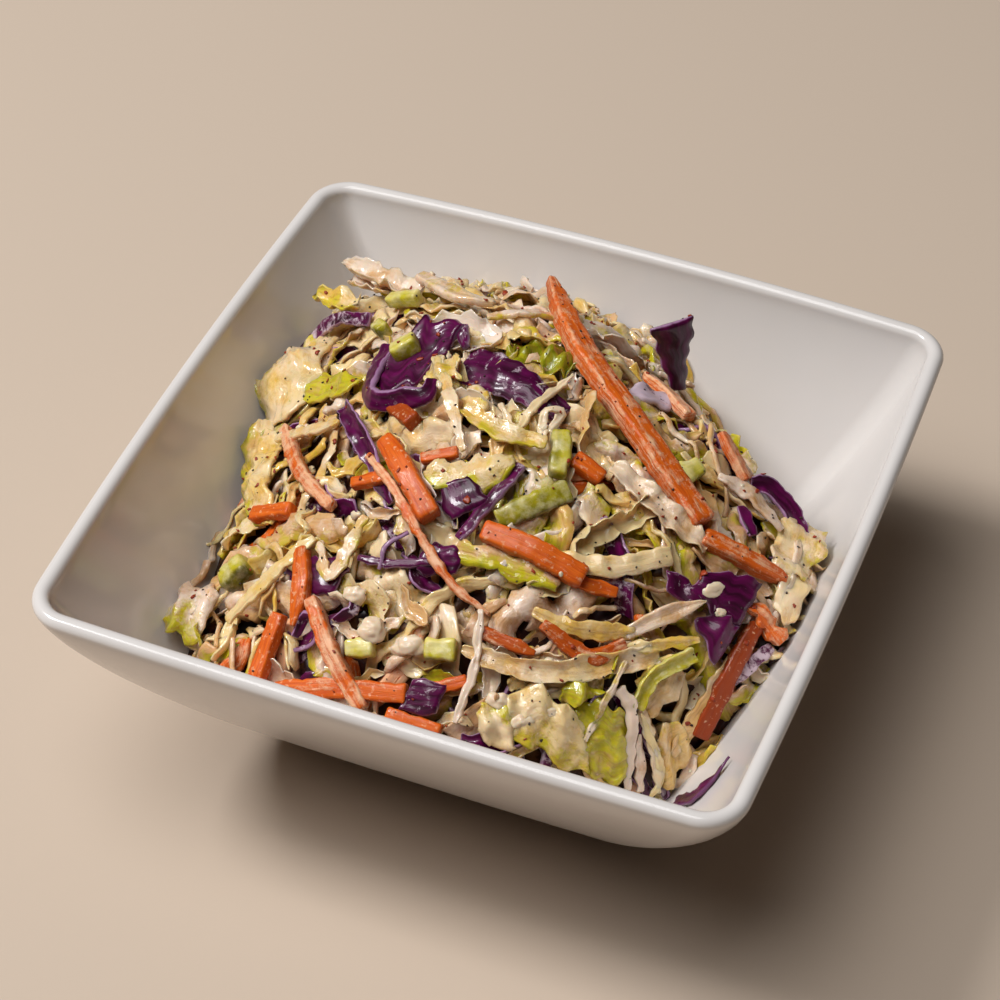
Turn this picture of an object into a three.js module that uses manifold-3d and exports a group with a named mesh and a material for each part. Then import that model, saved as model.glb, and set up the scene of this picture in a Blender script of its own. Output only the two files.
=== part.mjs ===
// Coleslaw in a square porcelain bowl.
//
// Millimetres, +Z up. The origin is on the table under the middle of the bowl, X runs along the
// front side of the bowl from left to right, and Y runs from the front side to the back side.
//
//   bowl                 square tapered bowl with a rounded lip, thin walls and a low foot ring
//   coleslaw             the heap: a domed core with carrot batons, cabbage shreds and leaves fused on
//   red_cabbage_sliver   the one shred that lies apart, on the wall at the front right corner

import * as THREE from "three";
import { mergeVertices } from "three/addons/utils/BufferGeometryUtils.js";
import Module from "manifold-3d";

const wasm = await Module();
wasm.setup();

// ---- Driving dimensions: the bowl ----

const SIDE = 140;               // across the rim, between the middles of opposite sides
const RIM_HEIGHT = 57;          // table to the top of the lip, at a corner
const RIM_HUMP = 0.9;           // how much higher the middle of each side of the rim is
const RIM_CORNER = 8;           // corner radius of the rim's outline
const FOOT_CORNER = 6.5;        // corner radius of the outline at the foot
const SIDE_BULGE = 1.4;         // outward bow of each side of the rim, gone at the foot
const WALL = 3.3;               // thickness of the wall and lip, measured level
const TAPER_INSET = 42;         // a wall that kept on would be this far in ...
const TAPER_DEPTH = 65;         // ... at this depth under the lip
const TAPER_POWER = 0.795;      // under 1: steep below the lip, leaning further out lower down
const BASE_DEPTH = 54;          // lip to the underside of the body
const FLOOR_DEPTH = 47;         // lip to the inside floor
const BASE_SHARPNESS = 14;      // how tightly the wall turns into the underside
const FLOOR_SHARPNESS = 8;      // how tightly the wall turns into the inside floor
const FOOT_HALF = 34;           // half width of the foot ring
const FOOT_WIDTH = 3.6;
const FOOT_RECESS = 1.6;        // depth of the hollow inside the foot ring
const FOOT_PROFILE = [          // [half width, height] of the foot ring, from its hollow outwards
  [FOOT_HALF - FOOT_WIDTH - 1, FOOT_RECESS],
  [FOOT_HALF - FOOT_WIDTH, 0.5],
  [FOOT_HALF - FOOT_WIDTH + 0.6, 0],
  [FOOT_HALF - 0.9, 0],
  [FOOT_HALF - 0.2, 0.6],
  [FOOT_HALF, 2.6],
];
const OUTER_INSETS = [35.2, 33.5, 31, 27, 22, 17, 12, 8, 4.5, 2, 0.7];      // where the wall is drawn
const INNER_INSETS = [0.7, 2, 4.5, 8, 12, 17, 22, 27, 31, 35, 40, 48];
const LIP_STEPS = 6;            // steps round the half circle of the lip
const HUMP_FROM = 5.6;          // the hump of the rim reaches down to this height
const GAP = 0.45;               // kept between pieces that rest on each other
const GAP_RISE = 0.6;           // share of the gap that is taken upwards on the sloping wall

// ---- Driving dimensions: the heap ----

const HEAP = {
  middle: [-2, 10],
  top: 71,                      // height of the dome over the table
  drop: 34,                     // fall from the top to the edge of the dome
  left: 51, right: 72, front: 68, back: 61,
  roundness: 2.5,               // 2 is an ellipse, more is squarer
  fall: 1.7,                    // power of the fall from the middle outwards
};
const HOLLOWS = [               // where the heap was spooned away, or piled up (negative depth)
  { at: [50, 54], radius: 27, depth: 42 },
  { at: [58, -50], radius: 24, depth: 30 },
  { at: [-54, 38], radius: 28, depth: -11 },
];
const CORE_SINK = 1.2;          // the bare core lies this far under the dome
const CORE_STEP = 11.5;         // grid of the core's top
const RIPPLE = { height: 0.7, lengths: [5.3, 8.1, 4.7, 9.2] };    // unevenness of the core
const WALL_REST = 1;            // pieces past the dome lie this far over the wall
const END_POWER = 1.6;          // how late a strip narrows towards its ends
const CUBE_TILT = 0.35;         // a stalk cube leans this far, in radians
const TOLERANCE = 0.12;         // faces that differ by less than this are merged

const HALF = SIDE / 2;
const LIP = WALL / 2;

const MATERIALS = {
  porcelain: new THREE.MeshStandardMaterial({ color: 0xe4dfdc, roughness: 0.18, metalness: 0 }),
  slaw: new THREE.MeshStandardMaterial({ color: 0xd9c9a4, roughness: 0.42, metalness: 0 }),
  redCabbage: new THREE.MeshStandardMaterial({ color: 0x4b1d4f, roughness: 0.35, metalness: 0 }),
};

// ---- Closed meshes ----

// A mesh from rings of equally many points, capped at both ends by the given middle points.
function loft(rings, firstCap, lastCap) {
  const count = rings[0].length;
  const points = rings.flat();
  const faces = [];
  for (let r = 0; r + 1 < rings.length; r++) {
    for (let i = 0; i < count; i++) {
      const a = r * count + i;
      const b = r * count + ((i + 1) % count);
      faces.push(a, b, b + count, a, b + count, a + count);
    }
  }
  const first = points.push(firstCap) - 1;
  const last = points.push(lastCap) - 1;
  const lastRing = (rings.length - 1) * count;
  for (let i = 0; i < count; i++) {
    const next = (i + 1) % count;
    faces.push(first, next, i);
    faces.push(last, lastRing + i, lastRing + next);
  }
  const geometry = new THREE.BufferGeometry();
  geometry.setFromPoints(points);
  geometry.setIndex(faces);
  return geometry;
}

function toSolid(geometry) {
  const bare = new THREE.BufferGeometry();
  bare.setAttribute("position", geometry.getAttribute("position"));
  bare.setIndex(geometry.getIndex());
  const merged = mergeVertices(bare, 1e-4);
  return new wasm.Manifold(new wasm.Mesh({
    numProp: 3,
    vertProperties: new Float32Array(merged.getAttribute("position").array),
    triVerts: new Uint32Array(merged.getIndex().array),
  }));
}

function toGeometry(solid) {
  const mesh = solid.getMesh();
  const geometry = new THREE.BufferGeometry();
  geometry.setAttribute("position", new THREE.Float32BufferAttribute(mesh.vertProperties, 3));
  geometry.setIndex(Array.from(mesh.triVerts));
  geometry.computeVertexNormals();
  return geometry;
}

// ---- The bowl's form ----

// Depth under the lip at a distance in from the rim, levelling out at the floor.
function wallDepth(inset, floor, sharpness) {
  if (inset <= 0) return 0;
  const wall = TAPER_DEPTH * (inset / TAPER_INSET) ** TAPER_POWER;
  return (wall ** -sharpness + floor ** -sharpness) ** (-1 / sharpness);
}

// A level outline of the bowl: a square with round corners whose sides bow out a little.
function outline(half, corner, bulge, z, steps) {
  const flat = half - bulge;
  const radius = Math.min(corner, flat - 0.5);
  const quarter = [];
  for (let i = 0; i < steps.side; i++) {
    quarter.push([(flat - radius) * (2 * i / steps.side - 1), -flat]);
  }
  for (let i = 0; i < steps.corner; i++) {
    const angle = Math.PI / 2 * (i / steps.corner - 1);
    quarter.push([flat - radius + radius * Math.cos(angle), -flat + radius + radius * Math.sin(angle)]);
  }
  const points = [];
  for (let turn = 0; turn < 4; turn++) {
    const axis = Math.PI / 2 * turn;
    for (const [px, py] of quarter) {
      const x = px * Math.cos(axis) - py * Math.sin(axis);
      const y = px * Math.sin(axis) + py * Math.cos(axis);
      const bowX = Math.sign(x) * bulge * (1 - (y / flat) ** 2) * Math.abs(x / flat) ** 3;
      const bowY = Math.sign(y) * bulge * (1 - (x / flat) ** 2) * Math.abs(y / flat) ** 3;
      const lift = RIM_HUMP * (2 - (x / flat) ** 2 - (y / flat) ** 2) * (z / RIM_HEIGHT) ** 3;
      const level = z > HUMP_FROM && half > FOOT_HALF ? Math.min(lift, RIM_HUMP) : 0;
      points.push(new THREE.Vector3(x + bowX, y + bowY, z + level));
    }
  }
  return points;
}

const FINE = { side: 6, corner: 5 };      // steps along each side and round each corner
const COARSE = { side: 3, corner: 3 };

function wallRing(inset, depth, extraInset, steps) {
  const part = Math.min(inset / (HALF - FOOT_HALF), 1);
  const corner = THREE.MathUtils.lerp(RIM_CORNER, FOOT_CORNER, part) - extraInset;
  const z = RIM_HEIGHT - LIP - depth;
  return outline(HALF - inset - extraInset, corner, SIDE_BULGE * (1 - part), z, steps);
}

function innerRing(inset, gap, steps) {
  const depth = wallDepth(inset, FLOOR_DEPTH, FLOOR_SHARPNESS);
  return wallRing(inset, depth - gap * GAP_RISE, WALL + gap, steps);
}

function bowlGeometry() {
  const rings = [];
  for (const [half, z] of FOOT_PROFILE) {
    rings.push(outline(half, FOOT_CORNER - (FOOT_HALF - half), 0, z, FINE));
  }
  for (const inset of OUTER_INSETS) {
    rings.push(wallRing(inset, wallDepth(inset, BASE_DEPTH, BASE_SHARPNESS), 0, FINE));
  }
  for (let i = 0; i <= LIP_STEPS; i++) {
    const angle = Math.PI * i / LIP_STEPS;
    rings.push(wallRing(0, -LIP * Math.sin(angle), LIP * (1 - Math.cos(angle)), FINE));
  }
  for (const inset of INNER_INSETS) {
    rings.push(innerRing(inset, 0, FINE));
  }
  const under = new THREE.Vector3(0, 0, FOOT_RECESS);
  const floor = new THREE.Vector3(0, 0, RIM_HEIGHT - LIP - FLOOR_DEPTH);
  return loft(rings, under, floor);
}

const ROOM_INSETS = [48, 35, 27, 18, 10, 4, 0];

// The room that food may take: the bowl's inside less a gap, carried straight up past the rim.
function roomSolid() {
  const rings = ROOM_INSETS.map((inset) => innerRing(inset, GAP, COARSE));
  const ceiling = RIM_HEIGHT + HALF;
  rings.push(innerRing(0, GAP, COARSE).map((p) => new THREE.Vector3(p.x, p.y, ceiling)));
  const floor = new THREE.Vector3(0, 0, RIM_HEIGHT - LIP - FLOOR_DEPTH + GAP);
  return toSolid(loft(rings, floor, new THREE.Vector3(0, 0, ceiling)));
}

// ---- The heap's form ----

function insideHeight(x, y) {
  const inset = HALF - WALL - Math.max(Math.abs(x), Math.abs(y));
  return RIM_HEIGHT - LIP - wallDepth(inset, FLOOR_DEPTH, FLOOR_SHARPNESS);
}

function domeHeight(x, y) {
  const dx = x - HEAP.middle[0];
  const dy = y - HEAP.middle[1];
  const u = Math.abs(dx) / (dx < 0 ? HEAP.left : HEAP.right);
  const v = Math.abs(dy) / (dy < 0 ? HEAP.front : HEAP.back);
  const reach = (u ** HEAP.roundness + v ** HEAP.roundness) ** (1 / HEAP.roundness);
  let z = HEAP.top - HEAP.drop * reach ** HEAP.fall;
  for (const { at, radius, depth } of HOLLOWS) {
    z -= depth * Math.exp(-((x - at[0]) ** 2 + (y - at[1]) ** 2) / radius ** 2);
  }
  return z;
}

// What a piece lies on: the dome, or the bowl's wall past the edge of the dome.
function bedHeight(x, y) {
  return Math.max(domeHeight(x, y), insideHeight(x, y) + WALL_REST);
}

function bedNormal(x, y) {
  const step = 1.5;
  const slopeX = (bedHeight(x + step, y) - bedHeight(x - step, y)) / (2 * step);
  const slopeY = (bedHeight(x, y + step) - bedHeight(x, y - step)) / (2 * step);
  return new THREE.Vector3(-slopeX, -slopeY, 1).normalize();
}

function coreSolid(room) {
  const steps = Math.round(SIDE / CORE_STEP);
  const top = new THREE.PlaneGeometry(SIDE, SIDE, steps, steps);
  const position = top.getAttribute("position");
  const index = Array.from(top.getIndex().array);
  const count = position.count;
  const [a1, b1, a2, b2] = RIPPLE.lengths;
  const points = [];
  for (let i = 0; i < count; i++) {
    const x = position.getX(i);
    const y = position.getY(i);
    const ripple = RIPPLE.height * (Math.sin(x / a1 + y / b1) + Math.cos(y / a2 - x / b2));
    points.push(new THREE.Vector3(x, y, domeHeight(x, y) - CORE_SINK + ripple));
  }
  for (let i = 0; i < count; i++) {
    points.push(new THREE.Vector3(position.getX(i), position.getY(i), -HALF));
  }
  const faces = [...index];
  for (let f = 0; f < index.length; f += 3) {
    faces.push(index[f] + count, index[f + 2] + count, index[f + 1] + count);
  }
  const row = steps + 1;
  const rim = [];
  for (let i = 0; i < steps; i++) rim.push(i);
  for (let i = 0; i < steps; i++) rim.push(i * row + steps);
  for (let i = steps; i > 0; i--) rim.push(steps * row + i);
  for (let i = steps; i > 0; i--) rim.push(i * row);
  for (let i = 0; i < rim.length; i++) {
    const a = rim[i];
    const b = rim[(i + 1) % rim.length];
    faces.push(a, b, b + count, a, b + count, a + count);
  }
  const geometry = new THREE.BufferGeometry();
  geometry.setFromPoints(points);
  geometry.setIndex(faces);
  return toSolid(geometry).intersect(room);
}

// ---- Pieces of vegetable ----

// A strip or baton along a path of [x, y, lift] points, where lift is the height over the bed.
// `width` and `thick` are its section, `ends` the share of the width left at its two ends, `roll`
// tips it about its own length in degrees, and `cup` bends its section to a shallow channel.
function strip({ path, width, thick, ends = [1, 1], roll = 0, twist = 0, cup = 0, steps = 4 }) {
  const curve = new THREE.CatmullRomCurve3(
    path.map(([x, y, lift]) => new THREE.Vector3(x, y, bedHeight(x, y) + lift)));
  const rings = [];
  for (let i = 0; i <= steps; i++) {
    const t = i / steps;
    const at = curve.getPointAt(t);
    const along = curve.getTangentAt(t);
    const angle = THREE.MathUtils.degToRad(roll + twist * t);
    const up = bedNormal(at.x, at.y);
    up.addScaledVector(along, -up.dot(along)).normalize().applyAxisAngle(along, angle);
    const side = new THREE.Vector3().crossVectors(along, up);
    const end = t < 0.5 ? ends[0] : ends[1];
    const share = THREE.MathUtils.lerp(1, end, Math.abs(2 * t - 1) ** END_POWER);
    const half = width / 2 * share;
    const rise = thick / 2;
    const section = cup > 0
      ? [[-1, -rise + cup], [0, -rise - cup], [1, -rise + cup],
        [1, rise + cup], [0, rise - cup], [-1, rise + cup]]
      : [[-1, -rise], [1, -rise], [1, rise], [-1, rise]];
    rings.push(section.map(([s, n]) => at.clone().addScaledVector(side, s * half).addScaledVector(up, n)));
  }
  const middle = (ring) => ring.reduce((sum, p) => sum.add(p), new THREE.Vector3()).divideScalar(ring.length);
  return toSolid(loft(rings.map((ring) => ring.reverse()), middle(rings[0]), middle(rings[steps])));
}

// A flat leaf piece: a thin grid of `rows` by `columns` between four corner points
// [x, y, lift] given round the piece, both faces split alike, with a wave across it.
function leaf({ corners, thick = 1.1, wave = 0.8, turns = 1.5, columns = 3, rows = 2 }) {
  const place = ([x, y, lift]) => new THREE.Vector3(x, y, bedHeight(x, y) + lift);
  const [a, b, c, d] = corners.map(place);
  const normal = new THREE.Vector3().crossVectors(c.clone().sub(a), d.clone().sub(b)).normalize();
  const faceUp = [];
  const faceDown = [];
  for (let j = 0; j <= rows; j++) {
    for (let i = 0; i <= columns; i++) {
      const u = i / columns;
      const v = j / rows;
      const near = a.clone().lerp(b, u);
      const far = d.clone().lerp(c, u);
      const at = near.lerp(far, v);
      const lift = wave * Math.sin(2 * Math.PI * turns * u + 2 * v) + wave * Math.cos(Math.PI * turns * v);
      faceUp.push(at.clone().addScaledVector(normal, lift + thick / 2));
      faceDown.push(at.clone().addScaledVector(normal, lift - thick / 2));
    }
  }
  const row = columns + 1;
  const count = faceUp.length;
  const faces = [];
  for (let j = 0; j < rows; j++) {
    for (let i = 0; i < columns; i++) {
      const p = j * row + i;
      faces.push(p, p + 1, p + row + 1, p, p + row + 1, p + row);
      const q = p + count;
      faces.push(q, q + row + 1, q + 1, q, q + row, q + row + 1);
    }
  }
  const rim = [];
  for (let i = 0; i < columns; i++) rim.push(i);
  for (let j = 0; j < rows; j++) rim.push(j * row + columns);
  for (let i = columns; i > 0; i--) rim.push(rows * row + i);
  for (let j = rows; j > 0; j--) rim.push(j * row);
  for (let k = 0; k < rim.length; k++) {
    const p = rim[k];
    const q = rim[(k + 1) % rim.length];
    faces.push(p, p + count, q + count, p, q + count, q);
  }
  const geometry = new THREE.BufferGeometry();
  geometry.setFromPoints([...faceUp, ...faceDown]);
  geometry.setIndex(faces);
  return toSolid(geometry);
}

// A short cut cube of stalk, turned by `heading` degrees.
function cube({ at, size, heading }) {
  const geometry = new THREE.BoxGeometry(size[0], size[1], size[2]);
  geometry.rotateZ(THREE.MathUtils.degToRad(heading));
  geometry.rotateX(CUBE_TILT);
  geometry.translate(at[0], at[1], bedHeight(at[0], at[1]) + at[2]);
  return toSolid(geometry);
}

const CARROTS = [
  { path: [[-9, 46, 3], [4, 24, 2.5], [22, 9, 2.6], [39, -2, 2.6]],
    width: 4.8, thick: 3.8, ends: [0.35, 1], steps: 5 },
  { path: [[-20, -11, 2.6], [-13, -18, 3], [-6, -24, 2.6]],
    width: 4.4, thick: 3.8, ends: [0.8, 1], steps: 3 },
  { path: [[-23, -13, 2], [-8, -26, 2.4], [2, -33, 2], [10, -35, 1]],
    width: 2.6, thick: 2, ends: [0.7, 0.4], steps: 5 },
  { path: [[5, -23, 2], [14, -24, 2.6], [24, -24, 2]], width: 4.4, thick: 3.6, ends: [0.9, 0.9], steps: 3 },
  { path: [[41, -4, 1], [48, -3, 2], [56, -1, 2]], width: 3.8, thick: 3, ends: [1, 0.4], steps: 3 },
  { path: [[60, -9, 1], [55, -12, 2.4], [53, -21, 2], [50, -30, 1]],
    width: 3.8, thick: 3, ends: [1.3, 1], steps: 5 },
  { path: [[-49, 4, 1.4], [-38, -12, 0.8], [-27, -22, 0.4]],
    width: 3, thick: 2.6, ends: [0.8, 0.8], steps: 4 },
  { path: [[-44, -19, 1.2], [-36, -21, 0.6]], width: 3, thick: 2.6, steps: 2 },
  { path: [[-29, -31, 1.6], [-26, -38, 2.2], [-25, -43, 1.4]],
    width: 3.4, thick: 2.6, ends: [0.8, 0.4], steps: 3 },
  { path: [[-29, -42, 0.8], [-29, -54, 0.8]], width: 3.4, thick: 2.8, ends: [0.7, 1], steps: 2 },
  { path: [[-23, -40, 1.6], [-16, -48, 2.4], [-7, -54, 1.8]],
    width: 3.2, thick: 2.6, ends: [0.8, 0.8], steps: 3 },
  { path: [[-26, -53, 0.6], [-13, -52, 1], [0, -50, 0.8]],
    width: 3.8, thick: 2.6, ends: [0.6, 1], steps: 3 },
  { path: [[-2, -53, 0.6], [8, -53, 0.6]], width: 3.4, thick: 2.4, steps: 2 },
  { path: [[10, -38, 0.6], [20, -37, 0.8]], width: 2.6, thick: 2.2, ends: [1, 0.4], steps: 2 },
  { path: [[20, -33, 0.8], [29, -33, 0.8], [34, -28, 0.8]],
    width: 3, thick: 2.4, ends: [0.7, 0.7], steps: 4 },
  { path: [[17, 30, 0], [23, 26, 0.8], [29, 21, 0.4]], width: 2.8, thick: 2.2, ends: [0.6, 1], steps: 3 },
  { path: [[35, 20, 0.8], [42, 12, 0.8]], width: 2.2, thick: 2, steps: 2 },
];

const RED_CABBAGE = [
  { path: [[-16, 17, 1.2], [-22, 19, 5], [-28, 18, 4.4], [-32, 15, 3], [-31, 5, 3], [-25, -1, 2], [-16, -1, 1.4]],
    width: 3.4, thick: 1.1, roll: 60, steps: 8 },
  { path: [[-33, -2, 4], [-27, -8, 3.4], [-22, -13, 1.4], [-19, -17, 0.6], [-15, -21, 0]],
    width: 3.8, thick: 1.1, ends: [0.8, 0.3], roll: 20, cup: 0.4, steps: 5 },
  { path: [[6, -9, 1.4], [4, -18, 1.4], [0, -26, 1]], width: 3, thick: 1.2, roll: 25, steps: 3 },
  { path: [[-58, 31, 1.6], [-50, 31, 3], [-41, 28, 1.4]],
    width: 3, thick: 1.1, roll: 30, ends: [0.4, 1], steps: 4 },
  { path: [[44, 15, 0.6], [48, 17, 2.4], [54, 14, 2.4], [59, 9, 1]],
    width: 4, thick: 1.1, roll: 40, ends: [0.8, 0.3], steps: 5 },
  { path: [[-9, -27, 1.6], [-12, -30, 2.4], [-12, -33, 0.6]], width: 1.6, thick: 1, roll: 70, steps: 3 },
  { path: [[-17, -32, 0.8], [-10, -32, 0.8], [-3, -30, 0.8]], width: 1.8, thick: 1.2, steps: 3 },
];

const RED_LEAVES = [
  { corners: [[-13, 8, 1], [8, 4, 1], [10, 7, 2.6], [-13, 16, 2.8]], wave: 0.5 },
  { corners: [[-31, 5, 1], [-19, 1, 0.6], [-17, 17, 3], [-31, 15, 2.4]], wave: 0.6 },
  { corners: [[16, 32, -4], [21, 29, -4], [19, 38, 15], [12, 40, 12]], wave: 0.4, rows: 3, columns: 2 },
  { corners: [[17, 18, -0.6], [25, 21, -0.4], [24, 25, 0.6], [18, 23, 0.4]], wave: 0.3, columns: 2, rows: 2 },
  { corners: [[37, -15, 1], [51, -23, 1.6], [54, -5, 2.4], [45, -9, 2.8]], wave: 0.9 },
  { corners: [[0, -53, 1.4], [6, -52, 1.4], [7, -48, 1.6], [1, -49, 1.6]], wave: 0.2, columns: 2, rows: 2 },
];

const GREEN_LEAVES = [
  { corners: [[-49, 12, 0.6], [-36, 6, 1.4], [-35, 11, 1.6], [-47, 17, 1]], wave: 0.5 },
  { corners: [[-59, 10, 0.2], [-50, 8, -0.4], [-49, 27, -0.4], [-58, 29, 0.4]], wave: 0.9 },
  { corners: [[-59, -6, 0.4], [-50, -13, 2], [-49, 6, 2], [-58, 8, 0.6]], wave: 0.9 },
  { corners: [[-9, 14, 0.6], [8, 13, 0.8], [9, 22, 1], [-5, 24, 0.8]], wave: 0.8, turns: 2 },
  { corners: [[5, -20, 0], [15, -14, 0.2], [17, -9, 0.4], [8, -13, 0.4]], wave: 0.4, columns: 3, rows: 2 },
  { corners: [[1, -29, 0.6], [20, -28, 1], [20, -25, 1.2], [1, -25, 1]], wave: 0.4, rows: 2 },
  { corners: [[-54, -42, 0.4], [-46, -45, 0], [-45, -34, 0], [-53, -32, 0.8]], wave: 0.9 },
  { corners: [[24, -49, 1.2], [37, -45, 1], [38, -33, 1.6], [26, -38, 2]], wave: 1 },
  { corners: [[52, 0, 1], [60, 2, 2], [60, 17, 3.4], [51, 15, 2.4]], wave: 1.1 },
  { corners: [[-12, -19, 1], [3, -16, 1.4], [4, -9, 1.8], [-9, -13, 1.6]], wave: 0.7 },
];

const GREEN_CUBES = [
  { at: [-33, 29, 2.4], size: [6, 3.4, 3.4], heading: 20 },
  { at: [-27, 13, 3], size: [4.6, 4.2, 4.2], heading: 35 },
  { at: [-36, 22, 2], size: [3, 3.4, 3.6], heading: 10 },
  { at: [12, -5, 1], size: [3.6, 7.5, 3.6], heading: -15 },
  { at: [-43, -32, 1.4], size: [4.2, 4.8, 3.8], heading: 30 },
  { at: [4, -43, 1.4], size: [6, 4, 3.4], heading: 15 },
  { at: [-11, -46, 1], size: [5.6, 3.6, 3], heading: -10 },
  { at: [34, 6, 1.6], size: [4.4, 5.6, 3.4], heading: 25 },
];

const SHREDS = [
  { path: [[8, -42, 1.4], [22, -40, 1.8], [33, -32, 1.8], [40, -26, 1.2]],
    width: 4.6, thick: 1.6, ends: [0.5, 0.8], cup: 0.5, steps: 5 },
  { path: [[18, -32, 1], [26, -31, 1.4], [35, -26, 1]], width: 3.4, thick: 1.4, roll: 15, steps: 4 },
  { path: [[35, -26, 1], [40, -21, 2], [46, -16, 2.4]],
    width: 3.2, thick: 1.3, ends: [0.6, 0.3], steps: 4 },
  { path: [[18, -22, 1], [29, -19, 1.4], [37, -12, 1.6]],
    width: 4.2, thick: 1.6, ends: [0.7, 1], steps: 4 },
  { path: [[22, -2, 1], [33, -5, 1.8], [42, -6, 1.4]], width: 5, thick: 1.6, cup: 0.5, steps: 4 },
  { path: [[39, 10, 1], [51, 8, 1.4]], width: 3.6, thick: 1.5, steps: 3 },
  { path: [[-2, 1, 2], [3, -3, 2.4], [4, 2, 2.4], [8, 12, 2.6]], width: 1.7, thick: 1.4, steps: 6 },
  { path: [[-14, 24, 1.6], [-6, 29, 2], [1, 33, 1.4]], width: 2.6, thick: 1.4, steps: 4 },
  { path: [[-36, 40, 1], [-24, 31, 2.2], [-16, 31, 1.6]],
    width: 3.6, thick: 1.8, ends: [0.6, 0.4], steps: 4 },
  { path: [[-59, 55, 1.6], [-50, 48, 1.4], [-36, 38, 1]],
    width: 3.2, thick: 1.4, ends: [0.3, 1], steps: 4 },
  { path: [[-59, 44, 0.4], [-48, 38, 0.2]], width: 3.4, thick: 1.4, steps: 3 },
  { path: [[-48, 0, 2], [-34, -4, 2]], width: 3, thick: 1.6, steps: 3 },
  { path: [[-40, -41, 1.8], [-34, -35, 2.4], [-28, -29, 2]],
    width: 3, thick: 1.6, ends: [0.7, 0.7], steps: 4 },
  { path: [[-26, -30, 1.4], [-21, -35, 2], [-18, -26, 2.2]],
    width: 2.6, thick: 1.4, ends: [0.6, 0.4], steps: 5 },
  { path: [[9, -36, 2], [11, -44, 2], [11, -52, 1.2]], width: 1.7, thick: 1.3, ends: [0.8, 0.5], steps: 4 },
  { path: [[-19, 11, 2], [-11, -1, 2], [-5, -10, 1.4]],
    width: 2.8, thick: 1.4, ends: [0.8, 0.4], steps: 4 },
  { path: [[-8, -2, 1], [1, -5, 1.4], [9, -4, 1]], width: 4.4, thick: 1.4, cup: 0.4, steps: 4 },
  { path: [[39, -33, 1.4], [43, -36, 1.8], [46, -39, 1]],
    width: 2, thick: 1.3, ends: [0.6, 0.6], steps: 4 },
];

// Shreds that cover the rest of the dome: seeded draws on a jittered grid. `stations` are the
// places along a shred, in shares of its length, with the lift over the bed at each.
const FILL = {
  seed: 20, rows: 6, columns: 6, reach: 54, jitter: 0.7, clear: 4,
  longest: 36, shortest: 18, widest: 4.4, narrowest: 2.2, thick: 1.5, ends: [0.7, 0.5],
  stations: [[-0.5, -1.6], [-0.2, 0.9], [0.2, 0.7], [0.5, -1.4]],
  bow: 2, roll: 20, twist: 50, steps: 3,
};
const RANDOM = { factor: 16807, range: 2147483647 };

function fillShreds() {
  let seed = FILL.seed;
  const random = () => {
    seed = (seed * RANDOM.factor) % RANDOM.range;
    return seed / RANDOM.range;
  };
  const jittered = (cell, cells) => {
    const at = cell + 0.5 + FILL.jitter * (random() - 0.5);
    return FILL.reach * (2 * at / cells - 1);
  };
  const shreds = [];
  for (let i = 0; i < FILL.columns; i++) {
    for (let j = 0; j < FILL.rows; j++) {
      const x = jittered(i, FILL.columns);
      const y = jittered(j, FILL.rows);
      const heading = Math.PI * random();
      const bend = random() - 0.5;
      const length = THREE.MathUtils.lerp(FILL.longest, FILL.shortest, random());
      const breadth = random();
      if (domeHeight(x, y) < insideHeight(x, y) + FILL.clear) continue;
      const bow = (s) => bend * length * FILL.bow * s * s;
      shreds.push(strip({
        path: FILL.stations.map(([s, lift]) => [
          x + s * length * Math.cos(heading) - bow(s) * Math.sin(heading),
          y + s * length * Math.sin(heading) + bow(s) * Math.cos(heading),
          lift,
        ]),
        width: THREE.MathUtils.lerp(FILL.narrowest, FILL.widest, breadth),
        thick: FILL.thick,
        ends: FILL.ends,
        roll: FILL.roll * (2 * breadth - 1),
        twist: FILL.twist * bend,
        steps: FILL.steps,
      }));
    }
  }
  return shreds;
}

function heapSolid() {
  const room = roomSolid();
  const pieces = [
    coreSolid(room),
    ...CARROTS.map(strip),
    ...RED_CABBAGE.map(strip),
    ...SHREDS.map(strip),
    ...RED_LEAVES.map(leaf),
    ...GREEN_LEAVES.map(leaf),
    ...GREEN_CUBES.map(cube),
    ...fillShreds(),
  ];
  const joined = wasm.Manifold.union(pieces).intersect(room);
  const bodies = joined.decompose();
  bodies.sort((p, q) => q.volume() - p.volume());
  return bodies[0].simplify(TOLERANCE);
}

// ---- The loose shred ----

const SLIVER = { width: 2.6, thick: 1, clear: 2.4 };

function sliverSolid() {
  const path = [[50, -42], [54, -44.5], [57, -43], [59, -40]];
  return strip({
    path: path.map(([x, y]) => [x, y, SLIVER.clear]),
    width: SLIVER.width, thick: SLIVER.thick, ends: [0.5, 0.15], cup: 0.3, steps: 6,
  });
}

// ---- The scene graph ----

function named(name, geometry, material) {
  const mesh = new THREE.Mesh(geometry, material);
  mesh.name = name;
  return mesh;
}

const group = new THREE.Group();
group.add(named("bowl", bowlGeometry(), MATERIALS.porcelain));
group.add(named("coleslaw", toGeometry(heapSolid()), MATERIALS.slaw));
group.add(named("red_cabbage_sliver", toGeometry(sliverSolid()), MATERIALS.redCabbage));

export default group;
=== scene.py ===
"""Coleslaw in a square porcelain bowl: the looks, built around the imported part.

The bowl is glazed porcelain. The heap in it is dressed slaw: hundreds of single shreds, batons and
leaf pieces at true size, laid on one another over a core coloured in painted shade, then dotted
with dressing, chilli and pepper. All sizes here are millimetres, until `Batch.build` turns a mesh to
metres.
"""

import logging
import math
from dataclasses import dataclass, field
from enum import Enum
from typing import Sequence

import bpy
import numpy as np
from mathutils import Matrix, Vector
from mathutils.bvhtree import BVHTree


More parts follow.
